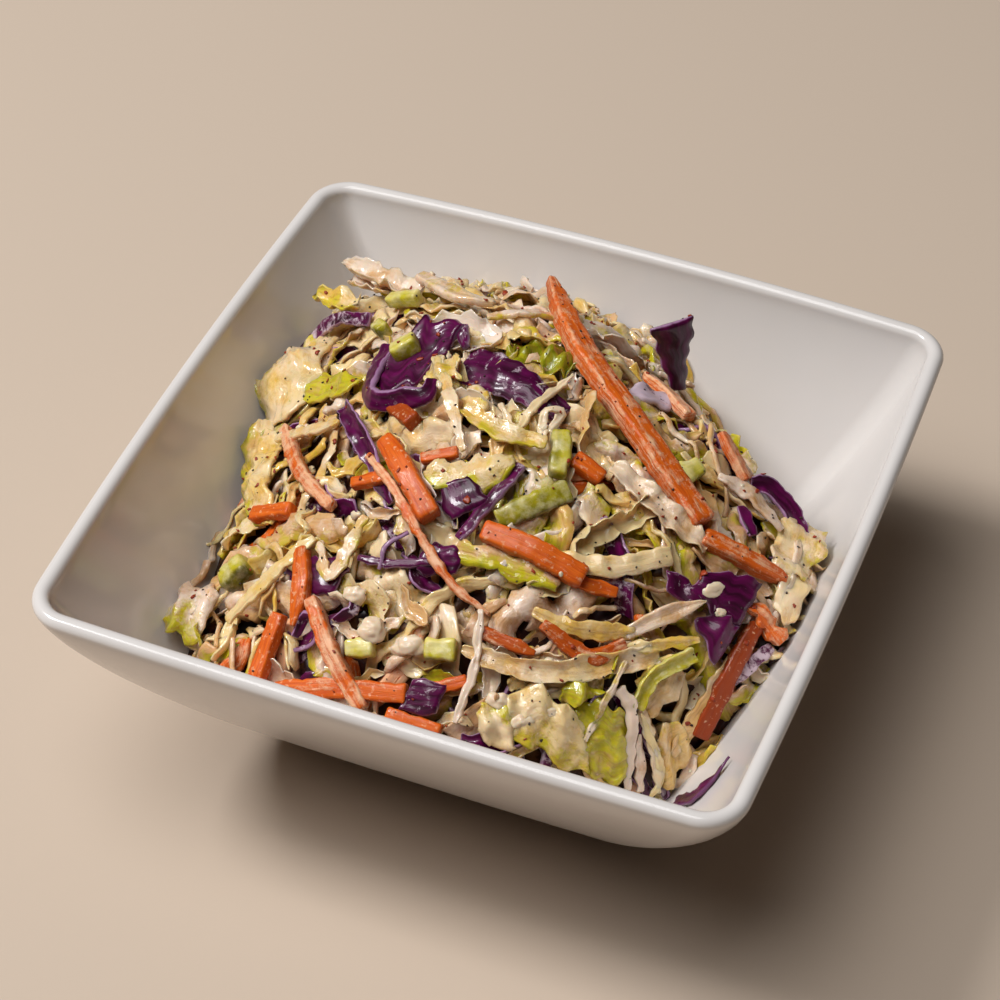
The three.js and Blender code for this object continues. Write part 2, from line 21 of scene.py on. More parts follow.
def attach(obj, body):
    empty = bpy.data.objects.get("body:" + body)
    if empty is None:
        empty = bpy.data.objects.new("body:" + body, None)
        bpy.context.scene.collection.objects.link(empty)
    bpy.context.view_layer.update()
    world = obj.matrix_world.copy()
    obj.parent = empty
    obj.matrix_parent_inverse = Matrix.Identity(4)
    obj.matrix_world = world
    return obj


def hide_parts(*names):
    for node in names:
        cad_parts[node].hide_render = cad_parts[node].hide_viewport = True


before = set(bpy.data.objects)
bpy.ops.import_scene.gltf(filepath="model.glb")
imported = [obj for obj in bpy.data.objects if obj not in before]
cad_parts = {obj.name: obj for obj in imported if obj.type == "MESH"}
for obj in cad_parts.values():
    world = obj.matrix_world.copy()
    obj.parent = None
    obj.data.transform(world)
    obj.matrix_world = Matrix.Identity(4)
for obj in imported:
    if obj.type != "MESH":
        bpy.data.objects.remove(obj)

Array = np.ndarray
Random = np.random.Generator
Pair = tuple[float, float]
Triple = tuple[float, float, float]
Knots = Sequence[Sequence[float]]
Piece = bpy.types.Object
Socket = bpy.types.NodeSocket
Tree = bpy.types.NodeTree

LOG = logging.getLogger("coleslaw")
MM = 0.001  # metres in a millimetre
BODY = "root"


# ---- Numbers ----


def linear(code: str) -> tuple[float, float, float, float]:
    """Turns an sRGB hex colour such as "#e4dfdc" to a linear colour with alpha 1."""
    parts = [int(code[i:i + 2], 16) / 255 for i in (1, 3, 5)]
    bright = [p / 12.92 if p <= 0.04045 else ((p + 0.055) / 1.055) ** 2.4 for p in parts]
    return (bright[0], bright[1], bright[2], 1.0)


def per_metre(size: float) -> float:
    """Scale of a texture in metres whose pattern repeats about every `size` millimetres."""
    return 1 / (size * MM)


def unit(rows: Array) -> Array:
    """Rows scaled to length 1."""
    return rows / np.maximum(np.linalg.norm(rows, axis=-1, keepdims=True), 1e-9)


def waves(points: Array, length: float, seed: int, octaves: int = 2) -> Array:
    """Smooth random heights, mostly between -1 and 1, as a sum of plane waves.

    Args:
        points: places, one a row.
        length: the longest wavelength, in the units of the places.
        seed: picks the waves.
        octaves: how many times waves of half the length and height are added.

    Returns:
        One height for each row.
    """
    random = np.random.default_rng(seed)
    total = np.zeros(points.shape[:-1])
    share = 1.0
    many = 7  # plane waves in each octave
    for octave in range(octaves):
        heading = unit(random.normal(size=(many, points.shape[-1])))
        phase = random.uniform(0, 2 * math.pi, many)
        turns = 2 * math.pi * 2 ** octave / length
        total += share * np.sin(points @ heading.T * turns + phase).mean(axis=-1) * 2
        share /= 2
    return total


def spline(knots: Array, count: int) -> Array:
    """A smooth curve through knots, as `count` points at even distances.

    Args:
        knots: the points that the curve passes through.
        count: how many points it is given back as.

    Returns:
        The points, one a row.
    """
    padded = np.vstack([2 * knots[0] - knots[1], knots, 2 * knots[-1] - knots[-2]])
    t = np.linspace(0, 1, 12, endpoint=False)[:, None]  # fine steps between two knots
    runs = []
    for a, b, c, d in zip(padded, padded[1:], padded[2:], padded[3:]):
        bend = (2 * a - 5 * b + 4 * c - d) * t ** 2 + (3 * b - a - 3 * c + d) * t ** 3
        runs.append(0.5 * (2 * b + (c - a) * t + bend))
    curve = np.vstack([*runs, knots[-1:]])
    gaps = np.linalg.norm(np.diff(curve, axis=0), axis=1)
    reached = np.concatenate([[0], np.cumsum(gaps)])
    wanted = np.linspace(0, reached[-1], count)
    return np.column_stack([np.interp(wanted, reached, axis) for axis in curve.T])


# ---- Meshes ----


@dataclass
class Shell:
    """A closed surface in millimetres.

    `tint` holds for each point how green it is (on a carrot, how far its flesh is darkened as
    painted shade), how near a cut edge, how thick its coat of dressing and a random share for the
    whole piece.
    `grain` holds the millimetres along and across the piece and a number that sets pieces apart.
    """

    points: Array
    quads: Array
    triangles: Array
    tint: Array
    grain: Array


def loft(rings: Array, first: Array, last: Array) -> tuple[Array, Array, Array]:
    """Joins rings of equally many points to a closed surface.

    Args:
        rings: rings by points by 3, running so that ring direction x path direction points out.
        first: the middle of the cap over the first ring.
        last: the middle of the cap over the last ring.

    Returns:
        Points, quads and triangles.
    """
    many, count = rings.shape[:2]
    points = np.vstack([rings.reshape(-1, 3), first[None], last[None]])
    here = np.arange(count)
    after = (here + 1) % count
    starts = (np.arange(many - 1) * count)[:, None]
    sides = [starts + here, starts + after, starts + after + count, starts + here + count]
    quads = np.stack(sides, axis=-1).reshape(-1, 4)
    top = (many - 1) * count
    start_cap = np.column_stack([np.full(count, many * count), after, here])
    end_cap = np.column_stack([np.full(count, many * count + 1), top + here, top + after])
    return points, quads, np.vstack([start_cap, end_cap])


@dataclass
class Batch:
    """Shells that become one mesh object."""

    name: str
    shells: list[Shell] = field(default_factory=list)

    def stacked(self, part: str) -> Array:
        """One array of all the shells' points, tints or grains."""
        return np.vstack([getattr(shell, part) for shell in self.shells])

    def build(self) -> Piece:
        """Makes the mesh object, in metres, smooth shaded, with its tint and grain as attributes.

        Returns:
            The object, linked to the scene.
        """
        quads, triangles, base = [], [], 0
        for shell in self.shells:
            quads.append(shell.quads + base)
            triangles.append(shell.triangles + base)
            base += len(shell.points)
        quads, triangles = np.vstack(quads), np.vstack(triangles)
        corners = np.concatenate([quads.ravel(), triangles.ravel()])
        sizes = np.concatenate([np.full(len(quads), 4), np.full(len(triangles), 3)])
        starts = np.concatenate([[0], np.cumsum(sizes)[:-1]])
        mesh = bpy.data.meshes.new(self.name)
        mesh.vertices.add(base)
        mesh.vertices.foreach_set("co", (self.stacked("points") * MM).astype(np.float32).ravel())
        mesh.loops.add(len(corners))
        mesh.loops.foreach_set("vertex_index", corners.astype(np.int32))
        mesh.polygons.add(len(sizes))
        mesh.polygons.foreach_set("loop_start", starts.astype(np.int32))
        mesh.update(calc_edges=True)
        mesh.validate()
        mesh.polygons.foreach_set("use_smooth", np.ones(len(mesh.polygons), bool))
        for part, key in (("tint", "color"), ("grain", "vector")):
            values = mesh.attributes.new(part, f"FLOAT_{key.upper()}", "POINT").data
            values.foreach_set(key, self.stacked(part).astype(np.float32).ravel())
        piece = bpy.data.objects.new(self.name, mesh)
        bpy.context.scene.collection.objects.link(piece)
        LOG.info("%s: %d pieces, %d triangles", self.name, len(self.shells),
                 2 * len(quads) + len(triangles))
        return piece


def plain(points: Array, quads: Array, triangles: Array) -> Shell:
    """A shell with no tint of its own, whose grain is its place."""
    return Shell(points, quads, triangles, np.zeros((len(points), 4)), points.copy())


def dress(batch: Batch, slot: str, *finishes: "Finish", stands_for: str = "coleslaw") -> Piece:
    """Makes a batch's object, gives it its finishes and body, and hides the CAD node it stands for.

    Args:
        batch: the shells of the piece.
        slot: not used.
        finishes: what goes in its material slots, in order.
        stands_for: the CAD node that it replaces.

    Returns:
        The object.
    """
    piece = batch.build()
    for finish in finishes:
        piece.data.materials.append(finish.material())
    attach(piece, BODY)
    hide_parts(stands_for)
    return piece


# ---- The bowl ----


@dataclass(frozen=True)
class BowlForm:
    """The square bowl's form, which its mesh is made from and the food is kept inside."""

    side: float = 140.0           # across the rim, between the middles of opposite sides
    rim_height: float = 57.0      # table to the top of the lip, at a corner
    rim_hump: float = 0.9         # how much higher the middle of each side of the rim is
    hump_from: float = 5.6        # the hump of the rim reaches down to this height
    ceiling: float = 72.4         # height that the food stays under
    rim_corner: float = 8.0       # corner radius of the rim
    foot_corner: float = 6.5      # corner radius of the foot
    side_bulge: float = 1.4       # how far the sides of the rim bow out
    wall: float = 3.3
    taper_inset: float = 42.0     # a wall that kept on would be this far in ...
    taper_depth: float = 65.0     # ... at this depth under the lip
    taper_power: float = 0.795
    base_depth: float = 54.0      # lip to the underside
    floor_depth: float = 47.0     # lip to the inside floor
    base_sharpness: float = 14.0  # how sharply the wall turns to the underside ...
    floor_sharpness: float = 8.0  # ... and to the inside floor
    base_inset: float = 35.2      # the outside's last ring
    floor_inset: float = 52.0     # the inside's last ring
    foot_half: float = 34.0
    foot_width: float = 3.6
    foot_recess: float = 1.6
    base_rings: int = 30
    floor_rings: int = 40
    lip_steps: int = 14
    side_steps: int = 22          # steps along each side of a ring
    corner_steps: int = 10        # steps round each corner of a ring

    @property
    def half(self) -> float:
        """Middle of the bowl to the middle of a side."""
        return self.side / 2

    @property
    def lip(self) -> float:
        """Radius of the rounded lip."""
        return self.wall / 2

    def wall_depth(self, inset: Array, floor: float, sharpness: float) -> Array:
        """Depth under the lip at a distance in from the rim, levelling out at the floor."""
        inside = np.maximum(inset, 1e-6)
        wall = self.taper_depth * (inside / self.taper_inset) ** self.taper_power
        return (wall ** -sharpness + floor ** -sharpness) ** (-1 / sharpness)

    def inside_height(self, x: Array, y: Array) -> Array:
        """Height of the inside of the bowl over a point of the table."""
        inset = self.half - self.wall - np.maximum(np.abs(x), np.abs(y))
        depth = self.wall_depth(inset, self.floor_depth, self.floor_sharpness)
        return self.rim_height - self.lip - depth

    def outline(self, half: float, corner: float, bulge: float, height: float) -> Array:
        """A level outline: a square with round corners whose sides bow out a little.

        Args:
            half: half the width, at the middle of a side.
            corner: corner radius.
            bulge: how far the sides bow out.
            height: height over the table.

        Returns:
            The outline's points, anticlockwise from above.
        """
        flat = half - bulge
        radius = min(corner, flat - 0.5)
        run = np.linspace(-1, 1, self.side_steps, endpoint=False) * (flat - radius)
        bend = np.linspace(-math.pi / 2, 0, self.corner_steps, endpoint=False)
        centre = (flat - radius) * np.array([1, -1])
        quarter = np.vstack([
            np.column_stack([run, np.full_like(run, -flat)]),
            np.column_stack([np.cos(bend), np.sin(bend)]) * radius + centre,
        ])
        turned = []
        for turn in range(4):
            angle = math.pi / 2 * turn
            turned.append(quarter @ np.array([[math.cos(angle), math.sin(angle)],
                                              [-math.sin(angle), math.cos(angle)]]))
        x, y = np.vstack(turned).T
        across, deep = x / flat, y / flat
        lift = self.rim_hump * (2 - across ** 2 - deep ** 2) * (height / self.rim_height) ** 3
        humped = height > self.hump_from and half > self.foot_half
        level = np.minimum(lift, self.rim_hump) * humped
        bow_x = np.sign(x) * bulge * (1 - deep ** 2) * np.abs(across) ** 3
        bow_y = np.sign(y) * bulge * (1 - across ** 2) * np.abs(deep) ** 3
        return np.column_stack([x + bow_x, y + bow_y, height + level])

    def wall_ring(self, inset: float, depth: float, extra: float) -> Array:
        """The outline of the wall at an inset from the rim and a depth under the lip."""
        part = min(inset / (self.half - self.foot_half), 1)
        corner = self.rim_corner + (self.foot_corner - self.rim_corner) * part - extra
        height = self.rim_height - self.lip - depth
        return self.outline(self.half - inset - extra, corner, self.side_bulge * (1 - part), height)

    def shell(self) -> Shell:
        """The whole bowl, from the hollow of its foot over the lip to the inside floor."""
        inner, outer = self.foot_half - self.foot_width, self.foot_half
        foot = [(inner - 1, self.foot_recess), (inner, 0.5), (inner + 0.3, 0.12), (inner + 0.6, 0),
                (outer - 0.9, 0), (outer - 0.4, 0.2), (outer - 0.2, 0.6), (outer, 2.6)]
        rings = [self.outline(half, self.foot_corner - (outer - half), 0, height)
                 for half, height in foot]
        for inset in self.base_inset * np.linspace(1, 0.08, self.base_rings) ** 2:
            depth = self.wall_depth(inset, self.base_depth, self.base_sharpness)
            rings.append(self.wall_ring(inset, float(depth), 0))
        for step in range(self.lip_steps + 1):
            angle = math.pi * step / self.lip_steps
            inwards = self.lip * (1 - math.cos(angle))
            rings.append(self.wall_ring(0, -self.lip * math.sin(angle), inwards))
        for inset in self.floor_inset * np.linspace(0.07, 1, self.floor_rings) ** 2:
            depth = self.wall_depth(inset, self.floor_depth, self.floor_sharpness)
            rings.append(self.wall_ring(inset, float(depth), self.wall))
        under = np.array([0, 0, self.foot_recess])
        floor = np.array([0, 0, self.rim_height - self.lip - self.floor_depth])
        return plain(*loft(np.stack(rings), under, floor))

    def keep_in(self, points: Array, margin: float) -> Array:
        """Keeps a piece under the ceiling and off the inside of the bowl.

        Args:
            points: places in millimetres.
            margin: height that is kept over the wall.

        Returns:
            The places, moved where needed.
        """
        kept = points.copy()
        kept[:, 2] -= max(kept[:, 2].max() - self.ceiling, 0)
        most = self.half - self.wall - margin
        low = kept[:, 2] < self.rim_height + 2  # beside the lip or under it
        kept[low, :2] = np.clip(kept[low, :2], -most, most)
        wall = self.inside_height(kept[:, 0], kept[:, 1]) + margin
        inside = np.abs(kept[:, :2]).max(axis=1) < self.half - self.wall
        kept[:, 2] = np.where(inside, np.maximum(kept[:, 2], wall), kept[:, 2])
        return kept


# ---- The heap's form ----


@dataclass(frozen=True)
class Hollow:
    """A round dip in the heap, or a rise where the depth is negative."""

    at: Pair
    radius: float
    depth: float


@dataclass(frozen=True)
class HeapForm:
    """The heap's form: a squarish dome with hollows, lying in the bowl."""

    bowl: BowlForm
    middle: Pair = (-2.0, 10.0)
    top: float = 71.0
    drop: float = 34.0      # top to the edge
    left: float = 51.0      # middle to the edge, to each side
    right: float = 72.0
    front: float = 68.0
    back: float = 61.0
    roundness: float = 2.5  # 2 is an oval, more is squarer
    fall: float = 1.7       # 1 is a cone, more is flatter on top
    hollows: tuple[Hollow, ...] = (
        Hollow((50, 54), 27, 42), Hollow((58, -50), 24, 30), Hollow((-54, 38), 28, -11),
        Hollow((37, 23), 11, -6.0))
    wall_rest: float = 1.0  # pieces past the dome lie this far over the wall

    def dome(self, x: Array, y: Array) -> Array:
        """Height of the heap's top over a point of the table."""
        dx, dy = x - self.middle[0], y - self.middle[1]
        u = np.abs(dx) / np.where(dx < 0, self.left, self.right)
        v = np.abs(dy) / np.where(dy < 0, self.front, self.back)
        reach = (u ** self.roundness + v ** self.roundness) ** (1 / self.roundness)
        height = self.top - self.drop * reach ** self.fall
        for hollow in self.hollows:
            away = (x - hollow.at[0]) ** 2 + (y - hollow.at[1]) ** 2
            height = height - hollow.depth * np.exp(-away / hollow.radius ** 2)
        return height

    def bed(self, x: Array, y: Array) -> Array:
        """Height of what a piece lies on: the dome, or the wall past the edge of the dome."""
        return np.maximum(self.dome(x, y), self.bowl.inside_height(x, y) + self.wall_rest)

    def normal(self, points: Array) -> Array:
        """Directions square to the bed at points."""
        step = 1.5  # millimetres to each side
        x, y = points[..., 0], points[..., 1]
        slope_x = (self.bed(x + step, y) - self.bed(x - step, y)) / (2 * step)
        slope_y = (self.bed(x, y + step) - self.bed(x, y - step)) / (2 * step)
        return unit(np.stack([-slope_x, -slope_y, np.ones_like(x)], axis=-1))

    def place(self, knots: Knots) -> Array:
        """Turns points [x, y, lift over the bed] to places."""
        at = np.array(knots, float)
        return np.column_stack([at[:, :2], self.bed(at[:, 0], at[:, 1]) + at[:, 2]])


# ---- Cut vegetables ----


# Wavelengths of their unevenness, in millimetres.
BREADTH_WAVE = 9
THICKNESS_WAVE = 6
EDGE_WAVE = 3.0
LEAF_EDGE_WAVE = 3.6
CRUMPLE_WAVE = 5.5
FINE_WAVE = 2.6

APART = 500  # most by which the grain of two pieces is set apart


@dataclass(frozen=True)
class Cut:
    """The form and tint of a strip or baton, in millimetres and degrees."""

    width: float
    thick: float
    ends: Pair = (0.6, 0.6)   # share of the width left at the two ends
    late: float = 2.4         # how late it narrows towards its ends
    skew: Pair = (0.0, 0.0)   # slant of its two ends
    roll: float = 0.0
    twist: float = 0.0
    cup: float = 0.0
    ruffle: float = 0.0
    ruffle_length: float = 5.0
    ridge: float = 0.0
    wobble: float = 0.12
    jag: float = 0.0          # unevenness of its two edges
    crumple: float = 0.0      # height of its soft dents
    rough: float = 0.1        # height of fine dents
    square: float = 4.0       # 2 is an oval section, more is squarer
    sides: int = 10
    step: float = 1.2
    green: Pair = (0.0, 0.0)  # at its two edges
    coat: float = 0.5
    blunt: float = 0.35       # length of its rounded ends, in thicknesses
    shrink: float = 0.7       # how much smaller its end faces are


def marked(surface: tuple[Array, Array, Array], green: Array, edge: Array, run: Array,
           breadth: Array, coat: float, chance: float) -> Shell:
    """Gives a surface its tint and its grain.

    Args:
        surface: points, quads and triangles.
        green: how green each point is.
        edge: how near a cut edge it is.
        run: its millimetres along the piece.
        breadth: its millimetres across the piece.
        coat: how thickly the piece is dressed.
        chance: the piece's random share.

    Returns:
        The shell.
    """
    same = np.ones_like(green)
    tint = np.column_stack([green, edge, same * coat, same * chance])
    return Shell(*surface, tint, np.column_stack([run, breadth, same * (chance * APART)]))


def strip(path: Array, ups: Array, cut: Cut, seed: int, lean: Array | None = None) -> Shell:
    """A strip or baton along a path.

    Args:
        path: the middle line, in millimetres.
        ups: the directions of its upper face.
        cut: its form and tint.
        seed: picks its unevenness.
        lean: further roll at each point, in radians.

    Returns:
        The closed strip.
    """
    random = np.random.default_rng(seed)
    gaps = np.linalg.norm(np.diff(path, axis=0), axis=1)
    along = np.concatenate([[0], np.cumsum(gaps)])
    share = along / along[-1]
    # The directions at each point: along the strip, to its side and up, rolled as the cut says.
    tangent = unit(np.gradient(path, along, axis=0))
    up = unit(ups - (ups * tangent).sum(axis=1, keepdims=True) * tangent)
    side = np.cross(tangent, up)
    roll = np.radians(cut.roll + cut.twist * (share - 0.5)) + (0 if lean is None else lean)
    cos, sin = np.cos(roll)[:, None], np.sin(roll)[:, None]
    side, up = side * cos - up * sin, up * cos + side * sin
    # Half its width and half its thickness at each point.
    end = np.where(share < 0.5, cut.ends[0], cut.ends[1])
    taper = 1 + (end - 1) * np.abs(2 * share - 1) ** cut.late
    drawn = random.uniform(0, 100)
    line = np.column_stack([along + drawn, np.full_like(along, drawn)])
    half = cut.width / 2 * taper * (1 + cut.wobble * waves(line, BREADTH_WAVE, seed, 2))
    thicker = 1 + 0.5 * cut.wobble * waves(line, THICKNESS_WAVE, seed + 1, 2)
    rise = cut.thick / 2 * (0.5 + 0.5 * taper) * thicker
    # The section: s runs across it from -1 to 1, h from its under to its upper face.
    count = cut.sides // 2
    across = np.sin(math.pi * ((np.arange(count) + 0.5) / count - 0.5))
    crown = (1 - np.abs(across) ** cut.square) ** (1 / cut.square)
    s, h = np.concatenate([across[::-1], across]), np.concatenate([-crown[::-1], crown])
    bites = [cut.jag * waves(line, EDGE_WAVE, seed + turn, 2)[:, None] for turn in (3, 4)]
    reach = s * half[:, None] + np.where(s > 0, bites[0], -bites[1]) * s ** 2
    phases = random.uniform(0, 2 * math.pi, 3)
    turns = 2 * math.pi * along[:, None] / cut.ruffle_length
    wave = np.where(s > 0, np.sin(turns + phases[0]), np.sin(turns * 0.8 + phases[1]))
    sheet = np.stack([np.broadcast_to(along[:, None] + drawn, reach.shape), reach], axis=-1)
    # How high each point of a ring stands over the path.
    height = h * rise[:, None] + cut.cup * (2 * s ** 2 - 1) * taper[:, None]
    height = height + cut.ruffle * wave * np.abs(s) ** 1.5
    height = height + cut.ridge * np.sin(s * 5.5 + phases[2]) * np.sign(h)
    height = height + cut.crumple * waves(sheet, CRUMPLE_WAVE, seed + 6, 3)
    slant = np.interp(share, [0, 0.3, 0.7, 1], [cut.skew[0], 0, 0, cut.skew[1]])
    rings = path[:, None] + side[:, None] * reach[..., None] + up[:, None] * height[..., None]
    rings = rings + tangent[:, None] * (reach * slant[:, None])[..., None]
    if cut.rough:
        dents = waves(rings + drawn, FINE_WAVE, seed + 2, 2)
        rings = rings + cut.rough * dents[..., None] * unit(rings - path[:, None])
    # The blunt ends.
    tip = cut.thick * cut.blunt
    middles = rings[[0, -1]].mean(axis=1)
    before = middles[0] + (rings[0] - middles[0]) * cut.shrink - tangent[0] * tip
    behind = middles[1] + (rings[-1] - middles[1]) * cut.shrink + tangent[-1] * tip
    rings = np.concatenate([before[None], rings, behind[None]])
    reached = np.concatenate([[0], along, [along[-1]]])
    green = cut.green[0] + (cut.green[1] - cut.green[0]) * (s + 1) / 2
    edge = np.tile(np.clip((np.abs(s) - 0.78) / 0.2, 0, 1), len(rings))  # the outer fifth
    edge[:2 * cut.sides] = np.maximum(edge[:2 * cut.sides], np.repeat([1, 0.3], cut.sides))
    return marked(
        loft(rings, before.mean(axis=0), behind.mean(axis=0)),
        green=np.append(np.tile(green, len(rings)), [np.mean(cut.green)] * 2),
        edge=np.append(edge, [1, 1]),
        run=np.append(np.repeat(reached, cut.sides), reached[[0, -1]]),
        breadth=np.append(np.tile(s * cut.width / 2 + np.sign(h) * cut.thick, len(rings)), [0, 0]),
        coat=cut.coat, chance=random.uniform())


@dataclass(frozen=True)
class LeafCut:
    """The form and tint of a leaf piece."""

    thick: float = 0.8
    wave: float = 0.6
    turns: float = 1.5         # waves along it
    bulge: float = 0.0         # how far its middle stands up
    fold: float = 0.0          # how far its middle line stands up, as a crease
    ends: Pair = (0.72, 0.72)  # share of the breadth left at its two ends
    ragged: float = 0.5        # unevenness of its outline
    crumple: float = 0.35
    vein: float = 0.15         # height of its veins
    vein_gap: float = 2.6
    green: Pair = (0.0, 0.0)   # along its near and its far side
    fade: float = 1.0          # how close to the far side its green stays
    coat: float = 0.5
    step: float = 0.9
    rounding: float = 0.28     # how far its cut edges bulge, in thicknesses


def leaf(near: Array, far: Array, cut: LeafCut, seed: int) -> Shell:
    """A thin piece of leaf between two lines, with both faces and its cut edges.

    Args:
        near: knots of its near side, in millimetres.
        far: knots of its far side, run the same way.
        cut: its form and tint.
        seed: picks its unevenness.

    Returns:
        The closed piece.
    """
    random = np.random.default_rng(seed)
    length = max(np.linalg.norm(np.diff(k, axis=0), axis=1).sum() for k in (near, far))
    breadth = np.linalg.norm(near.mean(axis=0) - far.mean(axis=0))
    columns = max(6, round(length / cut.step))
    rows = max(4, round(breadth / cut.step))
    a, b = spline(near, columns + 1), spline(far, columns + 1)
    drawn = random.uniform(0, 100)
    # The grid of its middle sheet; u runs along it and v from its near to its far side.
    along = np.linspace(0, 1, columns + 1)
    u, v = np.meshgrid(along, np.linspace(0, 1, rows + 1))
    end = np.where(along < 0.5, cut.ends[0], cut.ends[1])
    spread = 1 + (end - 1) * np.abs(2 * along - 1) ** 3
    sway = 0.12 * waves(along[:, None] * length + drawn, BREADTH_WAVE, seed + 7, 2)
    across = 0.5 + (v - 0.5) * spread + sway * (1 - np.abs(2 * along - 1))
    grid = a * (1 - across[..., None]) + b * across[..., None]
    du, dv = np.gradient(grid, axis=1), np.gradient(grid, axis=0)
    normal = unit(np.cross(du, dv))
    upwards = np.sign(normal[..., 2].mean()) or 1.0
    border = np.maximum(np.abs(2 * u - 1), np.abs(2 * v - 1)) ** 4
    # How far the sheet stands out of its plane: waves, bulge, fold, crumple and fanned veins.
    lift = cut.wave * np.sin(2 * math.pi * cut.turns * u + 2.4 * v + random.uniform(0, 6))
    lift = lift + cut.bulge * upwards * (1 - (2 * u - 1) ** 2) * (1 - (2 * v - 1) ** 2)
    lift = lift + cut.fold * upwards * (1 - np.abs(2 * v - 1))
    lift = lift + cut.crumple * waves(grid + drawn, CRUMPLE_WAVE, seed, 3)
    stray = 0.4 * waves(grid + drawn, 8, seed + 9, 1)
    fan = v * breadth / cut.vein_gap * (0.6 + 0.5 * u) + stray
    lift = lift + cut.vein * upwards * np.cos(2 * math.pi * fan) ** 3
    for axis, offset in ((du, 11), (dv, 23)):
        bite = cut.ragged * border * waves(grid + drawn, LEAF_EDGE_WAVE, seed + offset, 3)
        grid = grid + unit(axis) * bite[..., None]
    thick = cut.thick * (1 + 0.25 * waves(grid + drawn, THICKNESS_WAVE, seed + 5, 1))
    faces = [grid + normal * (lift + side * thick / 2)[..., None] for side in (1, -1)]
    # Both faces, and a rounded edge between them.
    row = columns + 1
    count = row * (rows + 1)
    corner = (np.arange(rows)[:, None] * row + np.arange(columns)).ravel()
    top = np.column_stack([corner, corner + 1, corner + row + 1, corner + row])
    rim = np.concatenate([np.arange(columns), np.arange(rows) * row + columns,
                          rows * row + np.arange(columns, 0, -1), np.arange(rows, 0, -1) * row])
    rim_next = np.roll(rim, -1)
    flat = [face.reshape(-1, 3) for face in faces]
    middle = (flat[0][rim] + flat[1][rim]) / 2
    centre = middle.mean(axis=0)
    middle = middle + unit(middle - centre) * cut.thick * cut.rounding
    ring = 2 * count + np.arange(len(rim))
    ring_next = np.roll(ring, -1)
    quads = np.vstack([
        top, (top + count)[:, ::-1],
        np.column_stack([rim, ring, ring_next, rim_next]),
        np.column_stack([ring, rim + count, rim_next + count, ring_next]),
    ])
    depth = v.ravel()
    green = cut.green[0] + (cut.green[1] - cut.green[0]) * depth ** cut.fade
    green, run, deep = (np.concatenate([value, value, value[rim]])
                        for value in (green, u.ravel() * length, depth * breadth))
    return marked(
        (np.vstack([*flat, middle]), quads, np.zeros((0, 3), int)), green=green,
        edge=np.repeat([0.0, 1.0], [2 * count, len(rim)]), run=run, breadth=deep,
        coat=cut.coat, chance=random.uniform())


@dataclass(frozen=True)
class Lump:
    """The form of a small rounded or cracked lump."""

    size: Triple
    dent: float          # unevenness, as a share of its size
    columns: int = 12
    rows: int = 7
    square: float = 2.0  # 2 is oval, more is squarer


def lump(at: Array, up: Array, form: Lump, heading: float, seed: int) -> Shell:
    """A small closed lump, lying on a surface.

    Args:
        at: its middle.
        up: the direction that its shortest side faces.
        form: its size and unevenness.
        heading: how it is turned about `up`, in radians.
        seed: picks its unevenness.

    Returns:
        The closed lump.
    """
    random = np.random.default_rng(seed)
    aside = unit(np.cross(up, [math.cos(heading), math.sin(heading), 0.1])[None])[0]
    ahead = np.cross(aside, up)
    around = 2 * math.pi * np.arange(form.columns) / form.columns
    down = math.pi * (np.arange(form.rows) + 0.7) / (form.rows + 0.4)
    power = 2 / form.square
    level = np.sign(np.cos(down)) * np.abs(np.cos(down)) ** power
    out = np.sin(down) ** power
    local = np.stack([
        out[:, None] * np.cos(around), out[:, None] * np.sin(around),
        np.repeat(level[:, None], form.columns, axis=1),
    ], axis=-1)
    local = local[::-1]
    local *= 1 + form.dent * waves(local * 2 + random.uniform(0, 90), 3.0, seed, 2)[..., None]
    local *= np.array(form.size) / 2
    basis = np.stack([ahead, -aside, up])
    rings = at + local @ basis
    first, last = at - up * form.size[2] / 2, at + up * form.size[2] / 2
    points, quads, triangles = loft(rings, first, last)
    tint = np.zeros((len(points), 4))
    tint[:, 2] = 0.5
    tint[:, 3] = random.uniform()
    return Shell(points, quads, triangles, tint, points.copy())


# ---- Laying shreds on one another ----


